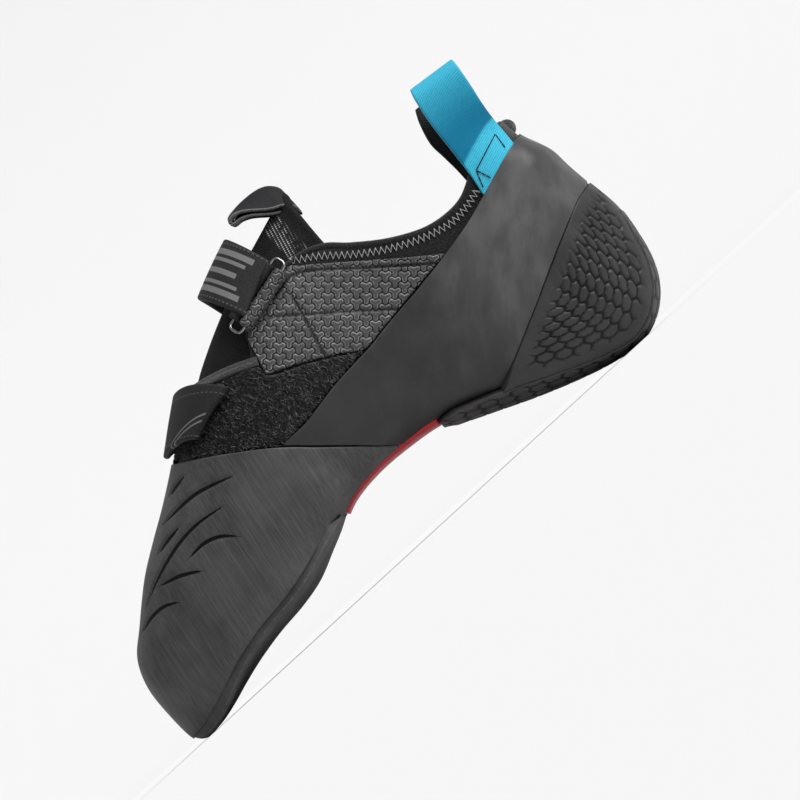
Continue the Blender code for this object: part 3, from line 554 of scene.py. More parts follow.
def to_line(points, line):
    """Signed distance from points seen from the side to a line, and share along it."""
    x, z = points[..., 0], points[..., 2]
    best, share, sign = np.full(x.shape, FAR), np.zeros(x.shape), np.ones(x.shape)
    for k, (a, b) in enumerate(zip(line, line[1:])):
        way = b - a
        t = np.clip(((x - a[0]) * way[0] + (z - a[1]) * way[1]) / (way @ way), 0, 1)
        d = np.hypot(x - a[0] - t * way[0], z - a[1] - t * way[1])
        near = d < best
        share = np.where(near, (k + t) / (len(line) - 1), share)
        sign = np.where(near, np.sign((x - a[0]) * way[1] - (z - a[1]) * way[0]), sign)
        best = np.minimum(best, d)
    return best * sign, share


def above_line(points, line):
    """Height of points over a line seen from the side."""
    return points[..., 2] - np.interp(points[..., 0], line[:, 0], line[:, 1])


def mound(points, x, z, long, tall):
    """A soft swelling, 1 at its middle."""
    return np.exp(-(((points[..., 0] - x) / long) ** 2) - ((points[..., 2] - z) / tall) ** 2)


def beside_line(line, offset):
    """A side line moved across itself, by one offset or by one for each point."""
    lean = unit(np.gradient(line, axis=0))
    return line + np.stack([-lean[:, 1], lean[:, 0]], axis=1) * offset


# Meshes


def new_shape(*layers):
    shape = bmesh.new()
    for name in layers:
        shape.verts.layers.float.new(name)
    shape.verts.layers.float_vector.new("flat")
    return shape


def lattice(shape, points, flat=None, **values):
    """A grid of faces through a net of points, with values kept at its vertices."""
    rows, cols = points.shape[:2]
    verts = bmesh.ops.create_grid(shape, x_segments=cols - 1, y_segments=rows - 1, size=1)["verts"]
    for vert, point in zip(verts, place(points).reshape(-1, 3)):
        vert.co = point
    for name, value in values.items():
        layer = shape.verts.layers.float[name]
        for vert, number in zip(verts, np.broadcast_to(value, (rows, cols)).ravel()):
            vert[layer] = number
    if flat is not None:
        layer = shape.verts.layers.float_vector["flat"]
        for vert, (u, v) in zip(verts, np.asarray(flat).reshape(-1, 2)):
            vert[layer] = (u, v, 0.0)
    return verts


def welded(shape, points, **values):
    """A grid of faces whose meeting sides are closed."""
    verts = lattice(shape, points, **values)
    bmesh.ops.remove_doubles(shape, verts=verts, dist=WELD)


def wall(shape, outer, inner, flat=None, **values):
    """A closed wall between two nets that meet at their rims."""
    rows, cols = outer.shape[:2]
    top = lattice(shape, outer, flat, **values)
    low = lattice(shape, inner, flat, **values)
    faces = {face for vert in low for face in vert.link_faces}
    bmesh.ops.reverse_faces(shape, faces=list(faces))
    rim = [k for k in range(rows * cols) if k // cols in (0, rows - 1) or k % cols in (0, cols - 1)]
    bmesh.ops.remove_doubles(shape, verts=[net[k] for net in (top, low) for k in rim], dist=WELD)


def axes_across(ahead):
    """Two unit directions across each direction ahead."""
    first = unit(np.cross(ahead, TILT))
    return first, unit(np.cross(ahead, first))


def rings(path, axes, size, turn):
    """A circle of points round each point of a path."""
    turn = np.asarray(turn)[:, None]
    first, second = (axis[..., None, :] for axis in axes)
    return path[..., None, :] + size[..., None] * (np.cos(turn) * first + np.sin(turn) * second)


def capped(net, middles):
    """Rings of points, closed at both ends on a middle point."""
    first, last = (np.broadcast_to(middle, net[:1].shape) for middle in middles)
    return np.concatenate([first, net, last])


def tube(shape, path, radius, sides=6, loop=False):
    """A round thread along a path of points, closed at its ends or in a loop."""
    path = np.asarray(path, float)
    if loop:
        ahead = np.roll(path, -1, axis=0) - np.roll(path, 1, axis=0)
        path, ahead = (np.concatenate([line, line[:1]]) for line in (path, ahead))
    else:
        ahead = np.gradient(path, axis=0)
    axes = axes_across(unit(ahead))
    size = np.broadcast_to(radius, len(path)).astype(float)
    if not loop:
        path, *axes = (np.pad(line, ((1, 1), (0, 0)), "edge") for line in (path, *axes))
        size = np.concatenate([[POINT], size, [POINT]])
    welded(shape, rings(path, axes, size[:, None], np.linspace(0, 2 * np.pi, sides + 1)))


def finish_piece(name, shape, look, nodes):
    """The mesh as a named piece of the shoe, in place of the nodes."""
    bmesh.ops.recalc_face_normals(shape, faces=shape.faces)
    mesh = bpy.data.meshes.new(name)
    shape.to_mesh(mesh)
    shape.free()
    mesh.polygons.foreach_set("use_smooth", [True] * len(mesh.polygons))
    mesh.materials.append(look.material)
    piece = bpy.data.objects.new(name, mesh)
    bpy.context.scene.collection.objects.link(piece)
    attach(piece, "root")
    if nodes:
        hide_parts(*nodes)
    return piece


def shell(name, nets, look, nodes, slot, flat=None, **values):
    """A piece that is one closed wall between an outer and an inner net."""
    shape = new_shape(*values)
    wall(shape, *nets, flat, **values)
    return finish_piece(name, shape, look, nodes)


def threads(name, paths, radius, look, nodes, slot, **form):
    """A piece made of round threads."""
    shape = new_shape()
    for path in paths:
        tube(shape, path, radius, **form)
    finish_piece(name, shape, look, nodes)


# Materials


class Sock:
    """A shader socket that takes arithmetic."""

    def __init__(self, look, socket):
        self.look, self.socket = look, socket

    def work_out(self, operation, first, second):
        return self.look.node("ShaderNodeMath", {"operation": operation}, {0: first, 1: second})

    def __add__(self, other):
        return self.work_out("ADD", self, other)

    def __sub__(self, other):
        return self.work_out("SUBTRACT", self, other)

    def __rsub__(self, other):
        return self.work_out("SUBTRACT", other, self)

    def __mul__(self, other):
        return self.work_out("MULTIPLY", self, other)

    def __pow__(self, other):
        return self.work_out("POWER", self, other)

    __radd__, __rmul__ = __add__, __mul__


class Look:
    """A Principled material built from expressions."""

    def __init__(self, name, **fixed):
        self.material = bpy.data.materials.new(name)
        self.material.use_nodes = True
        self.tree = self.material.node_tree
        self.shader = self.tree.nodes["Principled BSDF"]
        for key, value in fixed.items():
            self.feed(key.replace("_", " "), value)

    def link(self, value, target):
        if isinstance(value, Sock):
            self.tree.links.new(value.socket, target)
        else:
            target.default_value = value

    def feed(self, key, value):
        self.link(value, self.shader.inputs[key])

    def node(self, kind, settings=None, sockets=None, out=0):
        made = self.tree.nodes.new(kind)
        for key, value in (settings or {}).items():
            setattr(made, key, value)
        for key, value in (sockets or {}).items():
            self.link(value, made.inputs[key])
        return Sock(self, made.outputs[out])

    def where(self):
        return self.node("ShaderNodeTexCoord", out=3)

    def part(self, vector, axis):
        return self.node("ShaderNodeSeparateXYZ", None, {0: vector}, out=axis)

    def value(self, name):
        return self.node("ShaderNodeAttribute", {"attribute_name": name}, out=2)

    def seen(self):
        """Table x and z in millimetres."""
        where = self.where()
        return self.part(where, 0) * 1000.0 + LENGTH / 2, self.part(where, 2) * 1000.0

    def sheet(self):
        """Millimetres across and along a sheet."""
        flat = self.node("ShaderNodeAttribute", {"attribute_name": "flat"}, out=1)
        return self.part(flat, 0), self.part(flat, 1)

    def noise(self, size, detail=2.0, rough=0.5, stretch=None):
        """Cloudy values of about 0.5, with features of a size in millimetres."""
        vector = self.where()
        if stretch:
            sockets = {"Vector": vector, "Rotation": (0.0, stretch[0], 0.0), "Scale": stretch[1]}
            vector = self.node("ShaderNodeMapping", {"vector_type": "TEXTURE"}, sockets)
        sockets = {"Vector": vector, "Scale": 1000.0 / size, "Detail": detail, "Roughness": rough}
        return self.node("ShaderNodeTexNoise", None, sockets)

    def cells(self, size):
        return self.node("ShaderNodeTexVoronoi", None, {"Vector": self.where(), "Scale": 1000.0 / size})

    def wave(self, value, step):
        return self.node("ShaderNodeMath", {"operation": "SINE"}, {0: value * (2 * math.pi / step)})

    def ramp(self, value, low, high):
        """0 to 1 from low to high, with soft ends."""
        sockets = {0: value, 1: low, 2: high, 3: 0.0, 4: 1.0}
        return self.node("ShaderNodeMapRange", {"interpolation_type": "SMOOTHSTEP"}, sockets)

    def band(self, value, low, high, soft):
        """1 between low and high, with soft edges."""
        return self.ramp(value, low - soft, low + soft) * self.ramp(value, high + soft, high - soft)

    def mix(self, share, first, second):
        first, second = ((*v, 1.0) if isinstance(v, tuple) else v for v in (first, second))
        return self.node("ShaderNodeMix", {"data_type": "RGBA"}, {0: share, 6: first, 7: second}, out=2)

    def bump(self, *heights):
        """Normal from heights, each with its size in millimetres."""
        normal = None
        for height, size in heights:
            sockets = {"Height": height, "Distance": size * MM, "Strength": 1.0}
            if normal:
                sockets["Normal"] = normal
            normal = self.node("ShaderNodeBump", None, sockets)
        self.feed("Normal", normal)


def grey(value, tint=0.001):
    """A grey with a hint of blue."""
    return (value, value, value + tint)


def times(colour, factor):
    return tuple(factor * v for v in colour)


def rubber(name, dark, light, roughness, shine=0.45, brushed=0.0, cloud=0.0, dust_and_sheen=None, marks=None):
    """Matte rubber with a fine grain, buffing lines, a cloudy sheen, and a paler film towards the ankle that
    is partly dustiness and partly painted sheen.
    """
    look = Look(name, Specular_IOR_Level=shine)
    tone = look.ramp(look.noise(17.0, 3.0), 0.3, 0.72)
    heights = [(look.noise(0.35, 2.0), 0.05)]
    rough = (look.noise(0.45, 3.0, 0.6) - 0.5) * 0.16 + roughness
    if brushed:
        lines = look.noise(0.6, 3.0, 0.65, (math.radians(BUFF_TURN), (1.0, 5.0, 40.0)))
        heights.append((lines, 0.15 * brushed))
        tone = tone * 0.5 + look.ramp(lines, 0.36, 0.68) * (0.5 * brushed)
        rough = rough + (lines - 0.5) * 0.25
    if cloud:
        heights.append((look.noise(26.0, 2.0), 1.4 * cloud))
        rough = rough - look.ramp(look.noise(22.0, 4.0, 0.6), 0.42, 0.62) * 0.16 * cloud
    colour = look.mix(tone, dark, light)
    # Paler towards the ankle and upwards: partly dustiness, partly a painted sheen.
    if dust_and_sheen:
        pale, (x_ankle, z_ankle), reach = dust_and_sheen
        x, z = look.seen()
        x, z = x - x_ankle, z - z_ankle
        along, above = x * UP[0] + z * UP[1], x * RIGHT[0] + z * RIGHT[1]
        wisps = look.noise(15.0, 4.0, 0.6, (0.6, (1.0, 1.0, 2.6)))
        away = (along * along * 0.5 + above * above) ** 0.5 + (wisps - 0.5) * 55.0
        dust_and_sheen_share = look.ramp(away, reach, 4.0) * 0.85 + look.ramp(wisps, 0.5, 0.75) * 0.15
        film = look.ramp(look.noise(8.0, 4.0, 0.6, (-0.75, (2.4, 1.0, 1.0))), 0.34, 0.68)
        colour = look.mix(dust_and_sheen_share, colour, look.mix(film, times(pale, 0.66), times(pale, 1.1)))
        rough = rough - dust_and_sheen_share * 0.06
    # Slits painted near black: painted shade inside the grooves.
    if marks == "slits":
        across = look.node("ShaderNodeMath", {"operation": "ABSOLUTE"}, {0: look.value("groove")})
        cut = look.ramp(across, 1.15, 0.85) * look.ramp(look.value("near"), 1.5, 1.2)
        colour = look.mix(cut, colour, grey(0.001, 0.0))
        rough = rough + cut * 0.3
    # Hexagon grooves painted near black: painted shade inside the grooves.
    if marks == "grooves":
        colour = look.mix(look.ramp(look.value("groove"), 0.15, 0.7), colour, grey(0.001, 0.0))
    # Pale flecks on the sole's rims and the top of its wall: partly scuffs and dustiness, partly a painted
    # highlight along the edges.
    if marks == "edges":
        edge = look.value("edge")
        wear_and_highlight = look.ramp(edge, 0.78, 0.92) + look.ramp(edge, -0.7, -0.9) * 0.6
        colour = look.mix(wear_and_highlight * look.ramp(look.noise(2.0, 4.0, 0.7), 0.4, 0.6), colour, grey(0.17, 0.0))
    look.feed("Base Color", colour)
    look.feed("Roughness", rough)
    look.bump(*heights)
    return look


def cloth_grain(look, size, dark, light):
    """Heights of the stitches and the fuzz of a fine cloth, and its colour."""
    grain, fuzz = look.cells(size), look.noise(0.5, 3.0, 0.6)
    return grain, fuzz, look.mix(look.ramp(grain + fuzz * 0.5, 0.35, 0.95), light, dark)


def knit(name, dark, light, size=0.7):
    """Fine stretch knit."""
    look = Look(name, Roughness=0.9, Specular_IOR_Level=0.2, Sheen_Weight=0.25)
    grain, fuzz, colour = cloth_grain(look, size, dark, light)
    look.feed("Base Color", colour)
    look.bump((grain, -0.25), (fuzz, 0.12))
    return look


def tongue_cloth():
    """Tongue fabric: dark, ribbed towards the front, with a lining of pale dots near its rear edge."""
    look = Look("tongue_cloth", Roughness=0.88, Specular_IOR_Level=0.2)
    x, z = look.seen()
    lining = look.ramp(x, 147.0, 147.6) * look.ramp(x, 155.4, 154.4)
    lining = lining * look.ramp(z, 106.0, 109.5) * look.ramp(z, 126.0, 124.5)
    ribbed = look.ramp(x, 139.0, 140.0) * look.ramp(x, 147.2, 146.6) * look.ramp(z, 116.0, 117.5)
    first = look.wave(x * 0.97 - z * 0.24, 1.25)
    second = look.wave(x * 0.24 + z * 0.97, 0.8)
    dots = look.ramp(first + second * 0.6, 0.35, 0.9) * lining * look.ramp(look.noise(5.0), 0.35, 0.6)
    grain, fuzz, colour = cloth_grain(look, 0.5, grey(0.007), grey(0.02))
    look.feed("Base Color", look.mix(dots, colour, grey(0.42, 0.01)))
    look.bump((grain, -0.2), (fuzz, 0.12), (second * ribbed, 0.2), (dots, 0.2))
    return look


def red_plate():
    """Satin moulding."""
    look = Look("red_plate", Roughness=0.42, Specular_IOR_Level=0.35)
    look.feed("Base Color", look.mix(look.noise(9.0), (0.36, 0.006, 0.012), (0.46, 0.01, 0.018)))
    look.bump((look.noise(0.4), 0.03))
    return look


def knob_mesh():
    """Grey knobs with rims paler as a painted highlight, over a dark ground."""
    look = Look("knob_mesh", Specular_IOR_Level=0.4)
    middle = look.value("knob")
    grain = look.noise(0.4, 3.0, 0.6)
    # Patches of wear: shinier, and with a stronger painted highlight on the rims.
    wear_and_highlight = look.ramp(look.noise(3.2, 3.0, 0.6), 0.38, 0.66)
    tone = look.mix(grain, grey(0.022), grey(0.07, 0.002))
    # Paler knob rims: painted highlight.
    rim = look.ramp(middle, 0.35, 0.75) * look.ramp(middle, 0.95, 0.75)
    tone = look.mix(rim * (wear_and_highlight * 0.6 + 0.15), tone, grey(0.3, 0.005))
    colour = look.mix(look.ramp(middle, 0.76, 0.96), tone, grey(0.002))
    look.feed("Base Color", look.mix(look.value("seam") * 0.85, colour, grey(0.005, 0.0)))
    look.feed("Roughness", (grain - 0.5) * 0.2 + 0.54 - wear_and_highlight * 0.14)
    look.bump((grain, 0.08))
    return look


def loop_pile():
    """Dark fibres, a few of them pale to stand for glints: painted highlight."""
    look = Look("loop_pile", Roughness=0.55, Specular_IOR_Level=0.45)
    look.feed("Base Color", look.mix(look.value("fibre") ** 4.0, grey(0.0012, 0.0003), grey(0.2, 0.003)))
    look.bump((look.noise(0.3), 0.1))
    return look


def webbing(name, dark, light, shine, rib_step=0.85, relief=0.07, painted_shade=None, selvage=None):
    """Webbing with ribs across its width, a fine weave along them, painted shade on its free part, and paler
    edges.
    """
    look = Look(name, Specular_IOR_Level=0.2)
    across, along = look.sheet()
    height = look.wave(along, rib_step) * 0.5 + look.wave(across, 0.6) * 0.25 + 0.5
    tone = look.ramp(height * 0.7 + look.noise(1.2) * 0.8, 0.1, 1.3)
    colour = look.mix(tone, dark, light)
    # Painted shade: the free part above the collar is darker, lightening again towards the fold.
    if painted_shade:
        free = look.ramp(along, 13.0, 14.8) * look.ramp(along + across * 0.35, 50.0, 22.0)
        colour = look.mix(free, colour, look.mix(tone, painted_shade, times(painted_shade, 1.35)))
    if selvage:
        rim = look.ramp(across, 0.55, 0.25) + look.ramp(across, selvage - 0.55, selvage - 0.25)
        colour = look.mix(rim * look.ramp(tone, 0.2, 0.6), colour, grey(0.2, 0.0))
    look.feed("Base Color", colour)
    look.feed("Roughness", look.noise(0.5) * 0.15 + shine)
    look.bump((height, relief))
    return look


def strap_look(name, stripes, width):
    """Coated strap cloth with plain grey stripes and a stitched edge."""
    look = Look(name, Specular_IOR_Level=0.3)
    across, along = look.sheet()
    weave = look.noise(0.5, 4.0, 0.7)
    ground = look.mix(look.ramp(weave, 0.3, 0.7), grey(0.006), grey(0.03, 0.002))
    mask = 0.0
    for slope, bend, start, wide, first, last in stripes:
        line = across + along * slope + along * along * bend
        mask = look.band(line, start, start + wide, 0.12) * look.band(along, first, last, 0.1) + mask
    inset, thread, step = 1.7, 0.29, 2.2
    dash = look.ramp(look.wave(along, step), -0.35, 0.1)
    stitch = 0.0
    for at in (inset, width - inset):
        stitch = look.band(across, at - thread, at + thread, 0.09) * dash + stitch
    colour = look.mix(mask, ground, look.mix(weave, grey(0.12, 0.002), grey(0.24, 0.003)))
    look.feed("Base Color", look.mix(stitch, colour, grey(0.08, 0.002)))
    look.feed("Roughness", weave * 0.2 + 0.66)
    look.bump((weave, 0.14), (mask, 0.12), (stitch, 0.25))
    return look


def ring_steel():
    """Bright drawn wire."""
    look = Look("ring_steel", Metallic=1.0)
    look.feed("Base Color", look.mix(look.noise(4.0), grey(0.22, 0.01), grey(0.42, 0.01)))
    look.feed("Roughness", look.noise(0.6) * 0.1 + 0.16)
    return look


TOE_RUBBER = rubber("toe_rubber", grey(0.034), grey(0.094), 0.62, brushed=1.0, marks="slits")
# Half sole rubber; its pale edge flecks are partly scuffs, partly a painted highlight.
SOLE_RUBBER = rubber("sole_rubber", grey(0.04), grey(0.1), 0.68, brushed=0.6, marks="edges")
# Pale film on the rand by the ankle: partly dustiness, partly a painted sheen.
ANKLE_DUST_AND_SHEEN = (grey(0.11), (216.0, 68.0), 46.0)
RAND_RUBBER = rubber("rand_rubber", grey(0.014), grey(0.021), 0.54, cloud=1.0, dust_and_sheen=ANKLE_DUST_AND_SHEEN)
HEEL_DARK = grey(0.024, 0.002)
HEEL_RUBBER = rubber("heel_rubber", HEEL_DARK, grey(0.038, 0.002), 0.52, 0.4, cloud=0.4, marks="grooves")
KEEL_RUBBER = rubber("keel_rubber", HEEL_DARK, grey(0.042, 0.002), 0.5, cloud=0.3, marks="grooves")
KNIT = knit("sock_knit", grey(0.008), grey(0.022))
FOOTBED = knit("footbed_cloth", grey(0.05, 0.005), grey(0.12, 0.005), 1.1)
TONGUE_FABRIC = tongue_cloth()
PALE_THREAD = knit("pale_thread", grey(0.34, 0.0), grey(0.6, 0.0), 0.4)
DARK_THREAD = knit("dark_thread", grey(0.002), grey(0.012, 0.002), 0.4)
BINDING = knit("binding_tape", grey(0.03), grey(0.075, 0.002), 0.5)
RED_PLATE = red_plate()
KNOB_MESH = knob_mesh()
LOOP_PILE = loop_pile()
# Blue loop: its free part carries painted shade.
BLUE_WEBBING = webbing("blue_webbing", (0.03, 0.36, 0.54), (0.06, 0.56, 0.78), 0.45, painted_shade=(0.0, 0.15, 0.27))
BLACK_WEBBING = webbing("black_webbing", grey(0.004), grey(0.018, 0.002), 0.6)
TAB_RIBBON = webbing("tab_ribbon", grey(0.006), grey(0.022, 0.002), 0.6, 0.5, 0.03, selvage=TAB_WIDTH)
RING_STEEL = ring_steel()
# Stripes: slope, bend, start across, width, and where they begin and end along the strap.
STRAP_LOW = strap_look("strap_lower_cloth", [(0.35, 0.012, at, 1.0, 1.0, 46.0) for at in (8.0, 11.0)], 22.0)
BARS = ((3.6, 2.2, 5.0), (7.0, 1.4, 7.5), (11.0, 2.0, 10.0), (15.6, 1.4, 7.5), (18.2, 2.2, 5.0))
STRAP_HIGH = strap_look("strap_upper_cloth", [(0.0, 0.0, *bar, 60.0) for bar in BARS], 24.0)


# Rubber pieces


def cap_net():
    """Rows and ways of the toe cap: toe to seam, and from rim to rim over the crown."""
    lift, tuck, overlap, seam_from = 1.6, 1.6, 1.0, 6.0
    rows, ways = np.linspace(0, 16.5, 331), np.linspace(0.0, 0.62, 249)
    top, plate = np.array(SOLE_TOP), np.array(PLATE_BAR)
    window = np.hanning(25)
    low = {}
    for side, edge in ((1, 2), (-1, 1)):
        spots = skin(rows[:, None], side * ways[None], lift)
        over = side * spots[..., 1] > side * np.interp(rows, plate[:, 0], plate[:, edge])[:, None] - overlap
        clear = np.where(spots[..., 0] < SOLE_END, above_line(spots, top) > -tuck, over)
        first = ways[np.argmax(clear, axis=1)]
        low[side] = np.convolve(np.pad(first, len(window) // 2, "edge"), window / window.sum(), "valid")
    seam = curve(CAP_SEAM, 120)
    half = stops(92.0, 0.7, (True, False)) * 0.5
    q = np.concatenate([half, 1 - half[-2::-1]])
    all_ways = low[1][None] + q[:, None] * (2 - low[-1] - low[1])[None]
    spots = skin(rows[None], all_ways, lift)
    past = spots[..., 0] - np.interp(spots[..., 2], seam[::-1, 1], seam[::-1, 0])
    past[:, rows < seam_from] = -1
    last = np.argmax(past > 0, axis=1)
    every = np.arange(len(q))
    share = past[every, last - 1] / (past[every, last - 1] - past[every, last])
    ends = rows[last - 1] + share * (rows[1] - rows[0])
    lines = np.linspace(0, 1, 160)[None] * ends[:, None]
    line_ways = np.array([np.interp(line, rows, way) for line, way in zip(lines, all_ways)])
    return by_length(lines, line_ways, stops(125.0, 0.95, (False, True)), lift)


def slit_marks(points):
    """Offset across the nearest slit in half widths, distance from it, and depth of the slits."""
    end_half, swell, widest = 0.1, 0.62, 4.0
    across, near = np.full(points.shape[:2], widest), np.full(points.shape[:2], FAR)
    for slit in SLITS:
        away, share = to_line(points, curve(slit, 24))
        half = end_half + swell * np.sin(np.pi * np.clip(share, 0, 1)) ** 0.7
        across = np.where(np.abs(away) < near, np.clip(away / half, -widest, widest), across)
        near = np.minimum(near, np.abs(away))
    depth = np.clip(1 - (np.abs(across) / 1.5) ** 2, 0, 1) ** 0.5
    return across, near, np.where(near < 1.6, depth, 0.0)


def build_toe_cap():
    """Toe cap, closed at the tip and thicker over the big toe, with its slits."""
    thick, rim = 1.9, 0.6
    swell, big_toe = 1.1, (6.0, 38.0, 7.0, 12.0)
    rows, ways = cap_net()
    base = skin(rows, ways, GAP)
    shut = (ways[0] < 1e-3) & (ways[-1] > 2 - 1e-3)
    far = np.where(shut[None], FAR, to_rim(base, ("first", "last")))
    far = np.minimum(far, to_rim(base, ("right",)))
    spots = skin(rows, ways, 2.0)
    across, near, depth = slit_marks(spots)
    relief = thick + swell * mound(spots, *big_toe)
    nets = skin(rows, ways, GAP + relief * roundover(far, rim) - depth), base
    shell("toe_cap_rubber", nets, TOE_RUBBER, ["toe_cap"], "toe_rubber", groove=across, near=near)


def build_sole():
    """Half sole as rings across the foot: tread, rounded edge, wall and top."""
    at = np.concatenate([np.linspace(0, 5, 50), np.linspace(5, len(SOLE) - 1, 100)[1:]])
    top_line = np.array(SOLE_TOP)
    turn = np.linspace(0, np.pi / 2, 6)
    net = []
    for x, lat, med, floor, lat_rise, med_rise in blend(SOLE, at):
        tail = np.clip((SOLE_END - x) / 7.0, 0, 1)
        floor = max(floor, 0.0)
        half = (med - lat) / 2
        radius = min(0.6 + 0.6 * tail, half * 0.5)
        inner = np.linspace(-half + radius, half - radius, 28)[1:-1]
        inset, corner = radius * (1 - np.sin(turn)), radius * (1 - np.cos(turn))
        y = np.concatenate([-half + inset[::-1], inner, half - inset])
        drop = np.concatenate([corner[::-1], np.zeros(len(inner)), corner])
        bow = np.where(y < 0, lat_rise, med_rise) * (y / half) ** 2
        under = floor + bow + drop + (1 - tail) ** 2 * 0.5
        lift = np.interp(x, top_line[:, 0], top_line[:, 1]) - floor - lat_rise
        over = floor + bow + np.maximum(lift, 0.9) - 0.2 * drop / radius
        mid, xs = (lat + med) / 2, np.full(len(y), x)
        tread = np.stack([xs, mid + y, under], axis=1)
        cover = np.stack([xs, mid + y * 0.995, np.maximum(over, under + 0.4)], axis=1)
        net.append(np.concatenate([tread, cover[::-1], tread[:1]]))
    net = np.array(net)
    edge = np.zeros(net.shape[1])
    edge[[0, len(y) - 1, -1]] = -1.0
    edge[[len(y), -2]] = 1.0
    shape = new_shape("edge")
    welded(shape, capped(net, [net[k, :-1].mean(axis=0) for k in (0, -1)]), edge=edge[None])
    finish_piece("half_sole", shape, SOLE_RUBBER, ["outsole_forefoot"])


def rand_edges(side, heel, lift):
    """Lower and upper edge of one side of the rand, from the toe cap to the middle of the heel."""
    plate, foot, overlap = np.array(PLATE_BAR), np.array(SECTIONS[:22]), 0.6
    front, back = (panel_lines(pairs, side, lift) for pairs in (RAND_PAIRS, RAND_BACK_PAIRS))
    under = []
    for x, top in ((139.0, (146.0, 65.4)), (148.0, (156.0, 67.0)), (160.0, (167.0, 68.5))):
        row = np.interp(x, foot[:, 0], np.arange(len(foot)))
        ways = np.linspace(0, 0.6, 200)
        y = skin(np.full(200, row), side * ways, lift)[:, 1]
        edge = np.interp(row, plate[:, 0], plate[:, 1 if side < 0 else 2]) - side * overlap
        way = np.interp(side * edge, side * y, ways)
        under.append(((row, side * way), np.ravel(spot(*top, side, lift))))
    edges = []
    for k in (0, 1):
        last = back[k][-1]
        share = np.linspace(1, 0, 14)[1:-1]
        round_back = np.stack([heel[k] + (last[0] - heel[k]) * share**2, last[1] * share], axis=1)
        edges.append(np.concatenate([front[k], [u[k] for u in under], back[k], round_back]))
    return edges


def build_rand():
    """Rubber band from the toe cap round the heel, with soft dents, and a hollow over the heel cup."""
    lift, thick, rim, heel_heights = 1.2, 1.7, 0.45, (56.8, 86.8)
    heel = np.interp(heel_heights, FINE_SECTIONS[HEEL_BACK, 1], FINE_ROWS[HEEL_BACK])
    outer, inner = (rand_edges(side, heel, lift) for side in (-1, 1))
    low, high = (np.concatenate([outer[k], [(heel[k], 0.0)], inner[k][::-1]]) for k in (0, 1))
    net = panel_net(low, high, np.linspace(0, 1, 330), stops(45.0, 1.0), lift)
    spots = skin(*net, 1.6)
    dents = sum(depth * mound(spots, x, z, long, tall) for x, z, depth, long, tall in RAND_DENTS)
    rear = ease(spots[..., 0], 228.0, 243.0)
    dents -= rear * np.exp(-(((spots[..., 2] - 74.0) / 6.0) ** 2))
    dents += rear * 1.2 * ease(spots[..., 2], 79.0, 88.0)
    shell("slingshot_band", raised(net, thick - dents, rim), RAND_RUBBER, ["slingshot_rand"], "rand_rubber")


def hexagons(p, q, long, wide):
    """Distance from the nearest side of a hexagon net; cells are long along p and wide along q."""
    row_step = math.sqrt(0.75)
    a, b = q / wide, p / long * row_step
    best = np.full(np.shape(a), FAR)
    pick = [np.zeros(np.shape(a)), np.zeros(np.shape(a))]
    row = np.round(b / row_step)
    for down in (-1, 0, 1):
        line = row + down
        shift = np.where(np.mod(line, 2) == 0, 0.0, 0.5)
        da, db = a - (np.round(a - shift) + shift), b - line * row_step
        near = da * da + db * db
        pick = [np.where(near < best, new, old) for new, old in zip((da, db), pick)]
        best = np.minimum(best, near)
    da, db = np.abs(pick[0]), np.abs(pick[1])
    flat_side = (0.5 - da) * wide
    slant_side = (0.5 - (0.5 * da + row_step * db)) * 0.5 * (wide + long)
    return np.minimum(flat_side, slant_side)


KEEL_THICK, KEEL_BASE, KEEL_LIFT = 2.5, 2.8, 4.4


def keel_thick(rows):
    """The heel tread thins out up the back of the heel."""
    return KEEL_THICK - 1.6 * np.clip((rows - 21.0) / 4.0, 0, 1)


def build_heel_cup():
    """Moulded heel cup with hexagon grooves, thicker beside the tread."""
    lift, thick, rim, groove_half, depth = 1.6, 2.0, 0.5, 0.42, 1.3
    seam = curve(CUP_SEAM, 200)
    rows = np.linspace(17.55, 27.66, 230)
    along = run_of(skin(rows, 0.0, lift))
    run = np.linspace(0, along[-1], 212)
    rows = np.interp(run, along, rows)
    edges = side_ways(rows, lambda points, side: above_line(points, seam) > 0.25, lift)
    net = between(rows, edges, stops(110.0, 0.6))
    points = skin(*net, lift)
    round_it = run_of(points, 1)
    round_it -= np.array([np.interp(0.0, way, line) for way, line in zip(net[1], round_it)])[:, None]
    keel_edges = bar_ways(KEEL_BAR, rows, KEEL_LIFT)
    keel = np.array([np.interp(pair, way, line) for pair, way, line in zip(keel_edges.T, net[1], round_it)])
    beside = np.where(round_it < 0, keel[:, :1] - round_it, round_it - keel[:, 1:])
    beside = np.maximum(beside, np.clip((rows - 26.0) / 0.9, 0, None)[:, None] * 6.0)
    q_mm = np.abs(round_it)
    p_mm = run[:, None] * (1.0 - 0.0035 * np.clip(q_mm - 18, 0, None))
    line = hexagons(p_mm + 2.0, q_mm * (1 + 0.004 * q_mm), 6.1, 4.9)
    fade = ease(np.abs(above_line(points, seam)) * 0.88, 1.5, 8.0) * ease(beside, 3.2, 6.0)
    groove = np.exp(-((line / groove_half) ** 2)) * fade
    swell = np.where(beside > 0, (keel_thick(rows)[:, None] + 0.15) * (1 - ease(beside, 0.0, 12.0)), 0.0)
    nets = raised(net, thick + swell - depth * groove, rim)
    shell("heel_cup_rubber", nets, HEEL_RUBBER, ["heel_cup"], "heel_rubber", groove=groove)


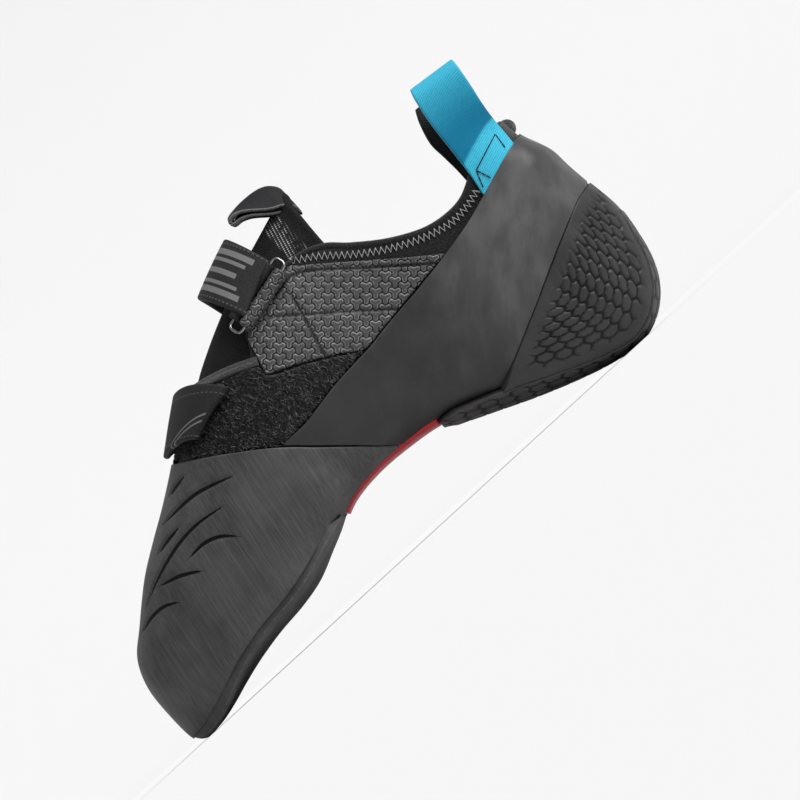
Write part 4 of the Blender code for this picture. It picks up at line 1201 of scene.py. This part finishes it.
def build_keel():
    """Tread strip under and behind the heel, thinner at its front end, with hexagon grooves."""
    rim, groove_half, depth = 0.5, 0.5, 0.8
    rows = np.linspace(15.97, 26.02, 300)
    along = run_of(skin(rows, 0.0, 4.0))
    run = stops(along[-1], 0.65) * along[-1]
    rows = np.interp(run, along, rows)
    corner = 1 - 0.22 * (1 - roundover(np.minimum(run, run[-1] - run), 9.0))
    net = between(rows, bar_ways(KEEL_BAR, rows, KEEL_LIFT) * corner, stops(48.0, 0.6))
    base = skin(*net, KEEL_BASE)
    far = to_rim(base)
    thick = (keel_thick(rows) * (0.55 + 0.45 * ease(run, 0.0, 6.0)))[:, None]
    round_it = run_of(base, 1)
    line = hexagons(np.broadcast_to(run[:, None], far.shape), round_it - round_it[:, -1:] / 2 + 2.6, 6.6, 5.4)
    groove = np.exp(-((line / groove_half) ** 2)) * ease(far, 0.5, 1.3)
    outer = skin(*net, KEEL_BASE + (thick - depth * groove * thick / KEEL_THICK) * roundover(far, rim))
    outer[..., 2] = np.maximum(outer[..., 2], 0.02)
    shell("heel_tread", (outer, base), KEEL_RUBBER, ["heel_keel"], "keel_rubber", groove=groove)


def build_plate():
    """Red moulded plate under the arch."""
    thick, rim = 2.5, 1.0
    front, rear = 98.6, 148.6
    rows = np.interp(np.linspace(front, rear, 70), FINE_SECTIONS[UNDERSIDE, 0], FINE_ROWS[UNDERSIDE])
    net = between(rows, bar_ways(PLATE_BAR, rows, 1.6, 0.5), stops(42.0, 0.9))
    shell("arch_plate_red", raised(net, thick, rim), RED_PLATE, ["arch_plate"], "red_plate")


# Fabric pieces


def knobs(u, v):
    """Distance from the middle lines of a net of three-armed knobs."""
    long, tall, arm = 7.0, 2.02, 1.5
    best = np.full(np.shape(u), FAR)
    row = np.round(v / tall)
    for down in (-2, -1, 0, 1, 2):
        line = row + down
        shift = np.where(np.mod(line, 2) == 0, 0.0, 0.5)
        du = u - (np.round(u / long - shift) + shift) * long
        dv = v - line * tall
        for turn in (30, 150, 270):
            cu, cv = math.cos(math.radians(turn)), math.sin(math.radians(turn))
            along = np.clip(du * cu + dv * cv, 0, arm)
            best = np.minimum(best, np.hypot(du - along * cu, dv - along * cv))
    return best


def knob_height(middle):
    return roundover(1.05 - middle, 0.75)


def build_quarters():
    """Mesh panels: knobs, pressed-in seams and a thicker border along the collar."""
    rim, seam_half = 0.7, 0.6
    for name, side, step in (("quarter_lateral", -1, 0.36), ("quarter_medial", 1, 0.5)):
        edges = panel_lines(QUARTER_PAIRS, side, 1.0)
        net = panel_net(*edges, np.linspace(0, 1, int(80 / step)), stops(32.0, step), 1.0)
        points = skin(*net, 1.0)
        side_points = points[..., [0, 2]]
        middle = knobs(side_points @ RIGHT, side_points @ UP)
        seam = np.zeros(middle.shape)
        for line in QUARTER_SEAMS:
            away, _ = to_line(points, curve(line, 40))
            seam = np.maximum(seam, np.exp(-((away / seam_half) ** 2)))
        over = ease(above_line(points, curve(QUARTER_SEAMS[-1], 60)), -0.2, 0.8)
        relief = 0.35 + 0.4 * (1 - seam) + 0.35 * over + 0.65 * knob_height(middle) * (1 - 0.5 * seam)
        nets = raised(net, relief, rim)
        shell(name + "_mesh", nets, KNOB_MESH, [name], "knob_mesh", knob=middle, seam=seam)


def pile_strands(shape, paths, radius, fibre):
    """Short three-sided fibres, all in one net that is cut apart between them."""
    count, steps = paths.shape[:2]
    parts = (paths, *axes_across(np.gradient(paths, axis=1)))
    path, *axes = (np.pad(part, ((0, 0), (1, 1), (0, 0)), "edge") for part in parts)
    size = np.array([POINT] + [radius] * steps + [POINT])[:, None]
    net = rings(path, axes, size, np.radians((0, 120, 240, 360)))
    rounds = steps + 2
    start = len(shape.verts)
    verts = lattice(shape, net.reshape(count * rounds, 4, 3), fibre=np.repeat(fibre, rounds)[:, None])
    shape.verts.index_update()
    between_strands = [
        face
        for face in {face for vert in verts for face in vert.link_faces}
        if min((vert.index - start) // 4 for vert in face.verts) % rounds == rounds - 1
    ]
    bmesh.ops.delete(shape, geom=between_strands, context="FACES")
    bmesh.ops.remove_doubles(shape, verts=shape.verts, dist=WELD / 2)


def build_pile():
    """Loop pile patch: a base cloth and its small loops, combed one way."""
    low, high = panel_lines(PILE_PAIRS, -1, 1.2)
    low, high = (
        np.concatenate([edge, [(crown_row(at), -1.0), (crown_row(beyond), -1.045)]])
        for edge, at, beyond in ((low, 64.7, 64.9), (high, 84.0, 83.6))
    )
    thick, rim, tries, most, fibre_radius = 0.7, 0.9, 14000, 6400, 0.11
    rows, ways = net = panel_net(low, high, np.linspace(0, 1, 130), stops(26.0, 0.8), 1.0)
    outer, base = raised(net, thick, rim)
    shape = new_shape("fibre")
    wall(shape, outer, base, fibre=0.0)
    chance = np.random.default_rng(7)
    i = chance.integers(1, rows.shape[0] - 3, tries)
    j = chance.integers(1, rows.shape[1] - 3, tries)
    mix_i, mix_j = chance.uniform(0, 1, (2, tries))
    foot_rows = rows[i, j] + (rows[i + 1, j] - rows[i, j]) * mix_i
    foot_ways = ways[i, j] + (ways[i, j + 1] - ways[i, j]) * mix_j
    area = np.linalg.norm(np.cross(base[i + 1, j] - base[i, j], base[i, j + 1] - base[i, j]), axis=1)
    keep = np.flatnonzero(chance.uniform(0, 1, tries) < area / np.quantile(area, 0.9))[:most]
    here, up = skin(foot_rows, foot_ways, 0.8)[keep], outward(foot_rows, foot_ways)[keep]
    comb = np.array((RIGHT[0] * 0.8 - UP[0] * 0.6, 0.0, RIGHT[1] * 0.8 - UP[1] * 0.6))
    way = comb + chance.normal(0, 0.55, (len(keep), 3))
    way = unit(way - up * np.sum(way * up, axis=1, keepdims=True))
    long = chance.uniform(1.0, 2.6, (len(keep), 1, 1))
    tall = chance.uniform(0.3, 1.1, (len(keep), 1, 1))
    t = np.array([0.0, 0.5, 1.0])[None, :, None]
    paths = here[:, None] + way[:, None] * long * (t - 0.4) + up[:, None] * tall * (1 - (2 * t - 0.9) ** 2)
    # Each strand's random value sets how pale its painted glint is.
    pile_strands(shape, paths, fibre_radius, chance.uniform(0.1, 1.0, len(keep)))
    finish_piece("pile_patch", shape, LOOP_PILE, ["pile_panel"])


def build_pile_binding():
    """Bound edge in front of the pile patch."""
    line, wide, lift = curve(PILE_BAND, 60), 3.6, 1.0
    net = np.stack([beside_line(line, (share - 0.5) * wide) for share in stops(wide, 0.5)], axis=1)
    flat_net = net.reshape(-1, 2)
    net = [part.reshape(net.shape[:2]) for part in spot(flat_net[:, 0], flat_net[:, 1], -1, 1.4)]
    half = 0.65 * roundover(to_rim(skin(*net, lift)), 0.7)
    shell("pile_binding", slab(net, lift, half), BINDING, (), "knit")


def build_upper():
    """Knit sock: closed over the toes, open at throat and collar."""
    edge = curve(COLLAR, 400)
    rows = np.concatenate([np.linspace(0, 11, 50), np.linspace(11, 31.48, 150)[1:]])

    def above(points, side):
        limit = np.interp(points[..., 0], edge[:, 0], edge[:, 1], left=200)
        return (points[..., 2] > limit) & (rows[:, None] > 9)

    middle = -1.0
    low, high = edges = side_ways(rows, above, middle, 1.0, 400)
    net = between(rows, edges, stops(150.0, 1.9))
    far = to_rim(skin(*net, middle), ("left", "right", "last"))
    shut = (low <= -0.999) & (high >= 0.999)
    half = np.where(shut[:, None], 1.0, roundover(far, 1.1))
    shell("knit_sock", slab(net, middle, half), KNIT, ["upper"], "knit")


def build_collar_edge():
    """Rolled rim of the collar, the zigzag seam under it and the small tab at its back."""
    rim_radius, zig_half, zig_radius, tab_half, tab_radius = 1.5, 1.3, 0.42, 9.5, 3.4
    for side, name in ((-1, "lateral"), (1, "medial")):
        line = curve(COLLAR[10:-1], 150)
        rim = skin(*spot(line[:, 0], line[:, 1] - 0.9, side, -1.0), -0.9)
        threads("collar_roll_" + name, [rim], rim_radius, KNIT, (), "knit", sides=10)
        seam = curve(ZIGZAG, 74)
        zig = beside_line(seam, np.where(np.arange(len(seam)) % 2 == 0, zig_half, -zig_half)[:, None])
        thread = skin(*spot(zig[:, 0], zig[:, 1], side, 0.25), 0.3)
        threads("zigzag_seam_" + name, [thread], zig_radius, PALE_THREAD, (), "knit")
    across = np.linspace(-1, 1, 41)
    path = np.stack([239.2 - 2.2 * across**2, tab_half * across, 91.4 - 0.8 * across**2], axis=1)
    thick = tab_radius * np.sqrt(np.clip(1 - across**2, 0.02, 1)) ** 0.7
    threads("collar_back_tab", [path], thick, KNIT, (), "knit", sides=18)


def build_insole():
    """Footbed inside the sock."""
    half_thick, rim = 0.9, 1.2
    rows, ways = np.meshgrid(np.linspace(5.0, 23.0, 70), np.linspace(-0.25, 0.25, 36), indexing="ij")
    lift = -np.interp(rows, [11.0, 13.5], [4.0, 3.4]) - half_thick
    half = half_thick * roundover(to_rim(skin(rows, ways, lift)), rim)
    shell("footbed_lining", slab((rows, ways), lift, half)[::-1], FOOTBED, ["insole"], "footbed")


def build_tongue():
    """Padded tongue with a rolled rear edge."""
    stations = np.concatenate([np.linspace(82, 156, 56), np.linspace(156, 161, 12)[1:]])
    edge = curve(TONGUE_EDGE, 200)
    crown = FINE_SECTIONS[:, 2:4]
    lines = []
    for x in stations:
        top = min(np.interp(x, crown[:, 0], crown[:, 1]) - 0.05, 131.5 - 0.25 * max(x - 156.0, 0))
        low = np.interp(x, edge[:, 0], edge[:, 1])
        z = top - (top - low) * (1 - np.cos(np.linspace(0, np.pi / 2, 40)))
        lat, med = (np.stack(find(np.full(40, x), z, side), axis=1) for side in (-1, 1))
        lat[:, 1] += 2
        lines.append(np.concatenate([med[::-1], lat[1:]]))
    lines, sunk, half_thick, rim = np.array(lines), -3.4, 1.1, 1.6
    net = by_length(lines[..., 0], lines[..., 1], np.linspace(0, 1, 90), sunk)
    middle = skin(*net, sunk)
    roll = np.exp(-(((161.0 - middle[..., 0]) / 3.0) ** 2))
    half = (half_thick + 0.9 * roll) * roundover(to_rim(middle), rim)
    piece = shell("tongue_pad", slab(net, sunk, half), TONGUE_FABRIC, ["tongue"], "tongue_fabric")


def offset_net(grid, thick, radius):
    """Both faces of a sheet with rounded rims, thick on the left of the grid."""
    normal = unit(np.cross(np.gradient(grid, axis=1), np.gradient(grid, axis=0)))
    half = 0.5 * thick * roundover(to_rim(grid), radius)[..., None]
    middle = grid + normal * thick / 2
    return middle + normal * half, middle - normal * half


def sheet_flat(grid):
    """Length across and along a sheet, at each point of its net."""
    return np.stack([run_of(grid, 1), run_of(grid, 0)], axis=-1)


def strap_net(strap):
    """A strap's net, from its outer end over the crown to its inner end."""
    edges = []
    for k in (0, 1):
        outer = np.ravel(spot(*strap["outer"][k], -1, strap["lift"][0] + 1.2))
        inner = np.ravel(find(*strap["inner"][k], 1))
        outer[1] += 2
        edges.append(np.array([outer, (crown_row(strap["crown"][k]), 1.0), inner]))
    at = np.linspace(0, 2, 90)
    lift = blend([(v,) for v in strap["lift"]], at)
    front, rear = (blend(edge, at) for edge in edges)
    share = stops(24.0, 24.0 / 26)[None]
    rows, ways = (front[:, k, None] + (rear - front)[:, k, None] * share for k in (0, 1))
    return skin(rows, ways, lift)


def ring_corner(k):
    x, z = RING_CORNERS[k]
    return skin(*spot(x, z, -1, RING_LIFT), RING_LIFT)[0]


def build_straps():
    """Both straps; the upper one is sewn round the ring's far bar."""
    rim, inset, hem_radius = 0.9, 3.4, 2.5
    for name, strap, look in (
        ("strap_lower", STRAP_LOWER, STRAP_LOW),
        ("strap_upper", STRAP_UPPER, STRAP_HIGH),
    ):
        grid = strap_net(strap)
        shape = new_shape()
        wall(shape, *offset_net(grid, STRAP_THICK, rim), sheet_flat(grid))
        if strap is STRAP_UPPER:
            front, rear = ring_corner(3), ring_corner(2)
            run = np.linspace(inset, np.linalg.norm(rear - front) - inset, 24)[:, None]
            tube(shape, front + unit(rear - front) * run, hem_radius, sides=14)
        finish_piece(name + "_band", shape, look, [name])


def build_ring():
    """Wire ring with rounded corners, and the knobbed sleeve round its lower bar."""
    bend, wire_radius, inset, sleeve_radius, knob = 2.2, 0.55, 3.2, 2.3, 0.45
    corners = [ring_corner(k) for k in range(4)]
    path = []
    for k, corner in enumerate(corners):
        a, b = (corner + unit(corners[other % 4] - corner) * bend for other in (k - 1, k + 1))
        t = np.linspace(0, 1, 9)[:, None]
        path += list((1 - t) ** 2 * a + 2 * t * (1 - t) * corner + t * t * b)
    threads("wire_ring", [path], wire_radius, RING_STEEL, ["strap_ring"], "ring_steel", sides=14, loop=True)
    low, high = corners[0], corners[1]
    way = unit(high - low)
    run = np.linspace(inset, np.linalg.norm(high - low) - inset, 74)
    turn = np.linspace(0, 2 * np.pi, 41)
    first = unit(np.cross((0, 1, 0.3), way))
    middle = knobs(*np.meshgrid(run, turn * 2.4, indexing="ij"))
    size = sleeve_radius + knob * knob_height(middle)
    size *= (0.72 + 0.28 * roundover(np.minimum(run - run[0], run[-1] - run), 1.2))[:, None]
    net = rings(low + way * run[:, None], (first, np.cross(way, first)), size, turn)
    net = capped(net, [net[k].mean(axis=0) for k in (0, -1)])
    shape = new_shape("knob", "seam")
    welded(shape, net, knob=np.pad(middle, ((1, 1), (0, 0)), "edge"), seam=0.0)
    finish_piece("ring_sleeve_roll", shape, KNOB_MESH, ["ring_sleeve"])


def loop_column(side, share, edges, heights):
    """One lengthwise line of a pull loop: up outside the collar, over the top and down inside it."""
    z_base, z_free, z_front, slope = heights
    z_top = z_front - slope * share
    edges = curve(edges, 80)

    def x_at(z, part=share):
        climb = (z - z_base) / (z_top - z_base)
        front, rear = (np.interp(climb, edges[:, 0], edges[:, k]) for k in (1, 2))
        return front + (rear - front) * part

    def on_collar(z, part, lift):
        return skin(*spot(x_at(z, part), z, side, lift), lift)

    rand = np.array(RAND_TOP)
    start = np.interp(x_at(z_base), rand[:, 0], rand[:, 1]) - 0.8
    out = on_collar(np.linspace(start, z_free, 5), share, np.linspace(0.3, 0.9, 5))
    inside = on_collar(np.linspace(z_free, z_base + 8, 4), share, -LOOP_DEPTH)
    wide, own = abs(on_collar(z_free, 0.5, 0.9)[0, 1]), abs(out[-1, 1])
    crest = z_top - WEBBING_THICK - LOOP_FOLD[1]
    free = np.linspace(0, 1, 9)[1:]
    lean = own + (wide - own) * ease(free, 0.0, 0.6) + (LOOP_TOP_Y + LOOP_FOLD[0] - wide) * free
    turn = np.radians(np.linspace(0, 180, 19)[1:])
    line = [(abs(y), z) for _, y, z in out]
    line += list(zip(lean, z_free + (crest - z_free) * free))
    line += [(LOOP_TOP_Y + LOOP_FOLD[0] * math.cos(a), crest + LOOP_FOLD[1] * math.sin(a)) for a in turn]
    line += [(abs(y), z) for _, y, z in inside]
    line = soften(np.array(line), 121, 9)
    return np.stack([x_at(line[:, 1]), side * line[:, 0], line[:, 1]], axis=1)


def build_loops():
    """Webbing that rises outside the collar, folds over at the top and runs down inside it."""
    rim, stitch_step, stitch_lift, thread_radius = 0.6, 2.0, 2.35, 0.24
    for name, look, slot in (
        ("pull_loop_lateral", BLUE_WEBBING, "blue_webbing"),
        ("pull_loop_medial", BLACK_WEBBING, "black_webbing"),
    ):
        side, edges, heights = LOOPS[name]
        columns = [loop_column(side, share, np.array(edges), heights) for share in stops(19.0, 1.2)]
        grid = np.stack(columns, axis=1)
        flat = sheet_flat(grid)
        if side > 0:
            grid, flat = grid[:, ::-1], flat[:, ::-1]
        shell(name + "_webbing", offset_net(grid, WEBBING_THICK, rim), look, [name], slot, flat)
        dashes = []
        for start, end in np.array(LOOP_STITCHES):
            count = max(round(np.linalg.norm(end - start) / stitch_step), 1)
            for k in range(count):
                dash = start + (end - start) * (k + np.linspace(0.06, 0.94, 6)[:, None]) / count
                dashes.append(skin(*spot(dash[:, 0], dash[:, 1], side, 2.4), stitch_lift))
        threads(name + "_stitches", dashes, thread_radius, DARK_THREAD, (), "black_webbing")


def build_tab():
    """Ribbon folded into a loop on the tongue's rear edge."""
    path = curve(TAB_PATH, 90)
    across = TAB_WIDTH * (0.5 - stops(TAB_WIDTH, 1.2))
    droop = 0.008 + 0.07 * ease(path[:, 0], 141.5, 157.0)
    grid = np.array([[(x, y, z - bend * y * y) for y in across] for (x, z), bend in zip(path, droop)])
    flat = sheet_flat(grid)
    flat[..., 0] = TAB_WIDTH / 2 - across
    nets = offset_net(grid, TAB_THICK, 0.5)
    shell("tongue_tab_ribbon", nets, TAB_RIBBON, ["tongue_tab"], "tab_ribbon", flat)


# Light, floor and camera


def build_stage():
    """Paper sweep: a floor that bends up into a backdrop. Metres."""
    front, flat_to, radius, half_width, length = -4.0, 2.2, 1.4, 5.0, 9.0
    shape = bmesh.new()
    bmesh.ops.create_grid(shape, x_segments=2, y_segments=40, size=1)
    for vert in shape.verts:
        run = (vert.co.y + 1) / 2 * length + front
        bend = max(run - flat_to, 0.0) / radius
        turn = min(bend, math.pi / 2)
        rise = radius * (1 - math.cos(turn)) + max(bend - math.pi / 2, 0) * radius
        vert.co = (vert.co.x * half_width, min(run, flat_to) + radius * math.sin(turn), rise)
    mesh = bpy.data.meshes.new("studio_sweep")
    shape.to_mesh(mesh)
    shape.free()
    mesh.polygons.foreach_set("use_smooth", [True] * len(mesh.polygons))
    look = Look("studio_paper", Roughness=0.95, Specular_IOR_Level=0.0)
    back = look.part(look.where(), 1)
    look.feed("Base Color", look.mix(look.ramp(back, 0.6, 2.8), grey(0.9, 0.0), grey(0.8, 0.0)))
    mesh.materials.append(look.material)
    sweep = bpy.data.objects.new("studio_sweep", mesh)
    bpy.context.scene.collection.objects.link(sweep)


def build_lights():
    """White surroundings, and a large soft sun that falls evenly on floor and backdrop."""
    scene = bpy.context.scene
    scene.world = bpy.data.worlds.new("studio")
    scene.view_settings.view_transform = "Standard"
    scene.world.use_nodes = True
    sky = scene.world.node_tree.nodes["Background"]
    sky.inputs["Color"].default_value = (1.0, 1.0, 1.0, 1.0)
    sky.inputs["Strength"].default_value = 0.3
    lamp = bpy.data.lights.new("key", "SUN")
    lamp.angle, lamp.energy = math.radians(45.0), 3.2
    light = bpy.data.objects.new("key", lamp)
    light.location = (0.85, -0.42, 0.95)
    light.rotation_euler = (-light.location).to_track_quat("-Z", "Y").to_euler()
    scene.collection.objects.link(light)


def build_camera():
    """The photograph's view: rolled, far off, and just above the floor."""
    far, width, height, sensor = 3000.0, 294.2, 6.0, 36.0
    target = (142.3, -12.0, 44.0)
    low = math.asin((target[2] - height) / far)
    ahead = np.array((0.0, math.cos(low), math.sin(low)))
    right = unit(np.cross(ahead, (UP[0], 0.0, UP[1])))
    up = np.cross(right, ahead)
    lens = bpy.data.cameras.new("photo_view")
    lens.sensor_width = sensor
    lens.lens = sensor * far / width
    lens.clip_end = 30.0
    camera = bpy.data.objects.new("photo_view", lens)
    stand = np.eye(4)
    stand[:3] = np.stack([right, up, -ahead, place(target) - ahead * far * MM], axis=1)
    camera.matrix_world = Matrix(stand.tolist())
    bpy.context.scene.collection.objects.link(camera)
    bpy.context.scene.camera = camera


RUBBER = (build_toe_cap, build_sole, build_rand, build_heel_cup, build_keel, build_plate)
FABRIC = (build_quarters, build_pile, build_pile_binding, build_upper)
LINING = (build_collar_edge, build_insole, build_tongue)
FASTENINGS = (build_straps, build_ring, build_loops, build_tab)
for build in RUBBER + FABRIC + LINING + FASTENINGS + (build_stage, build_lights, build_camera):
    build()
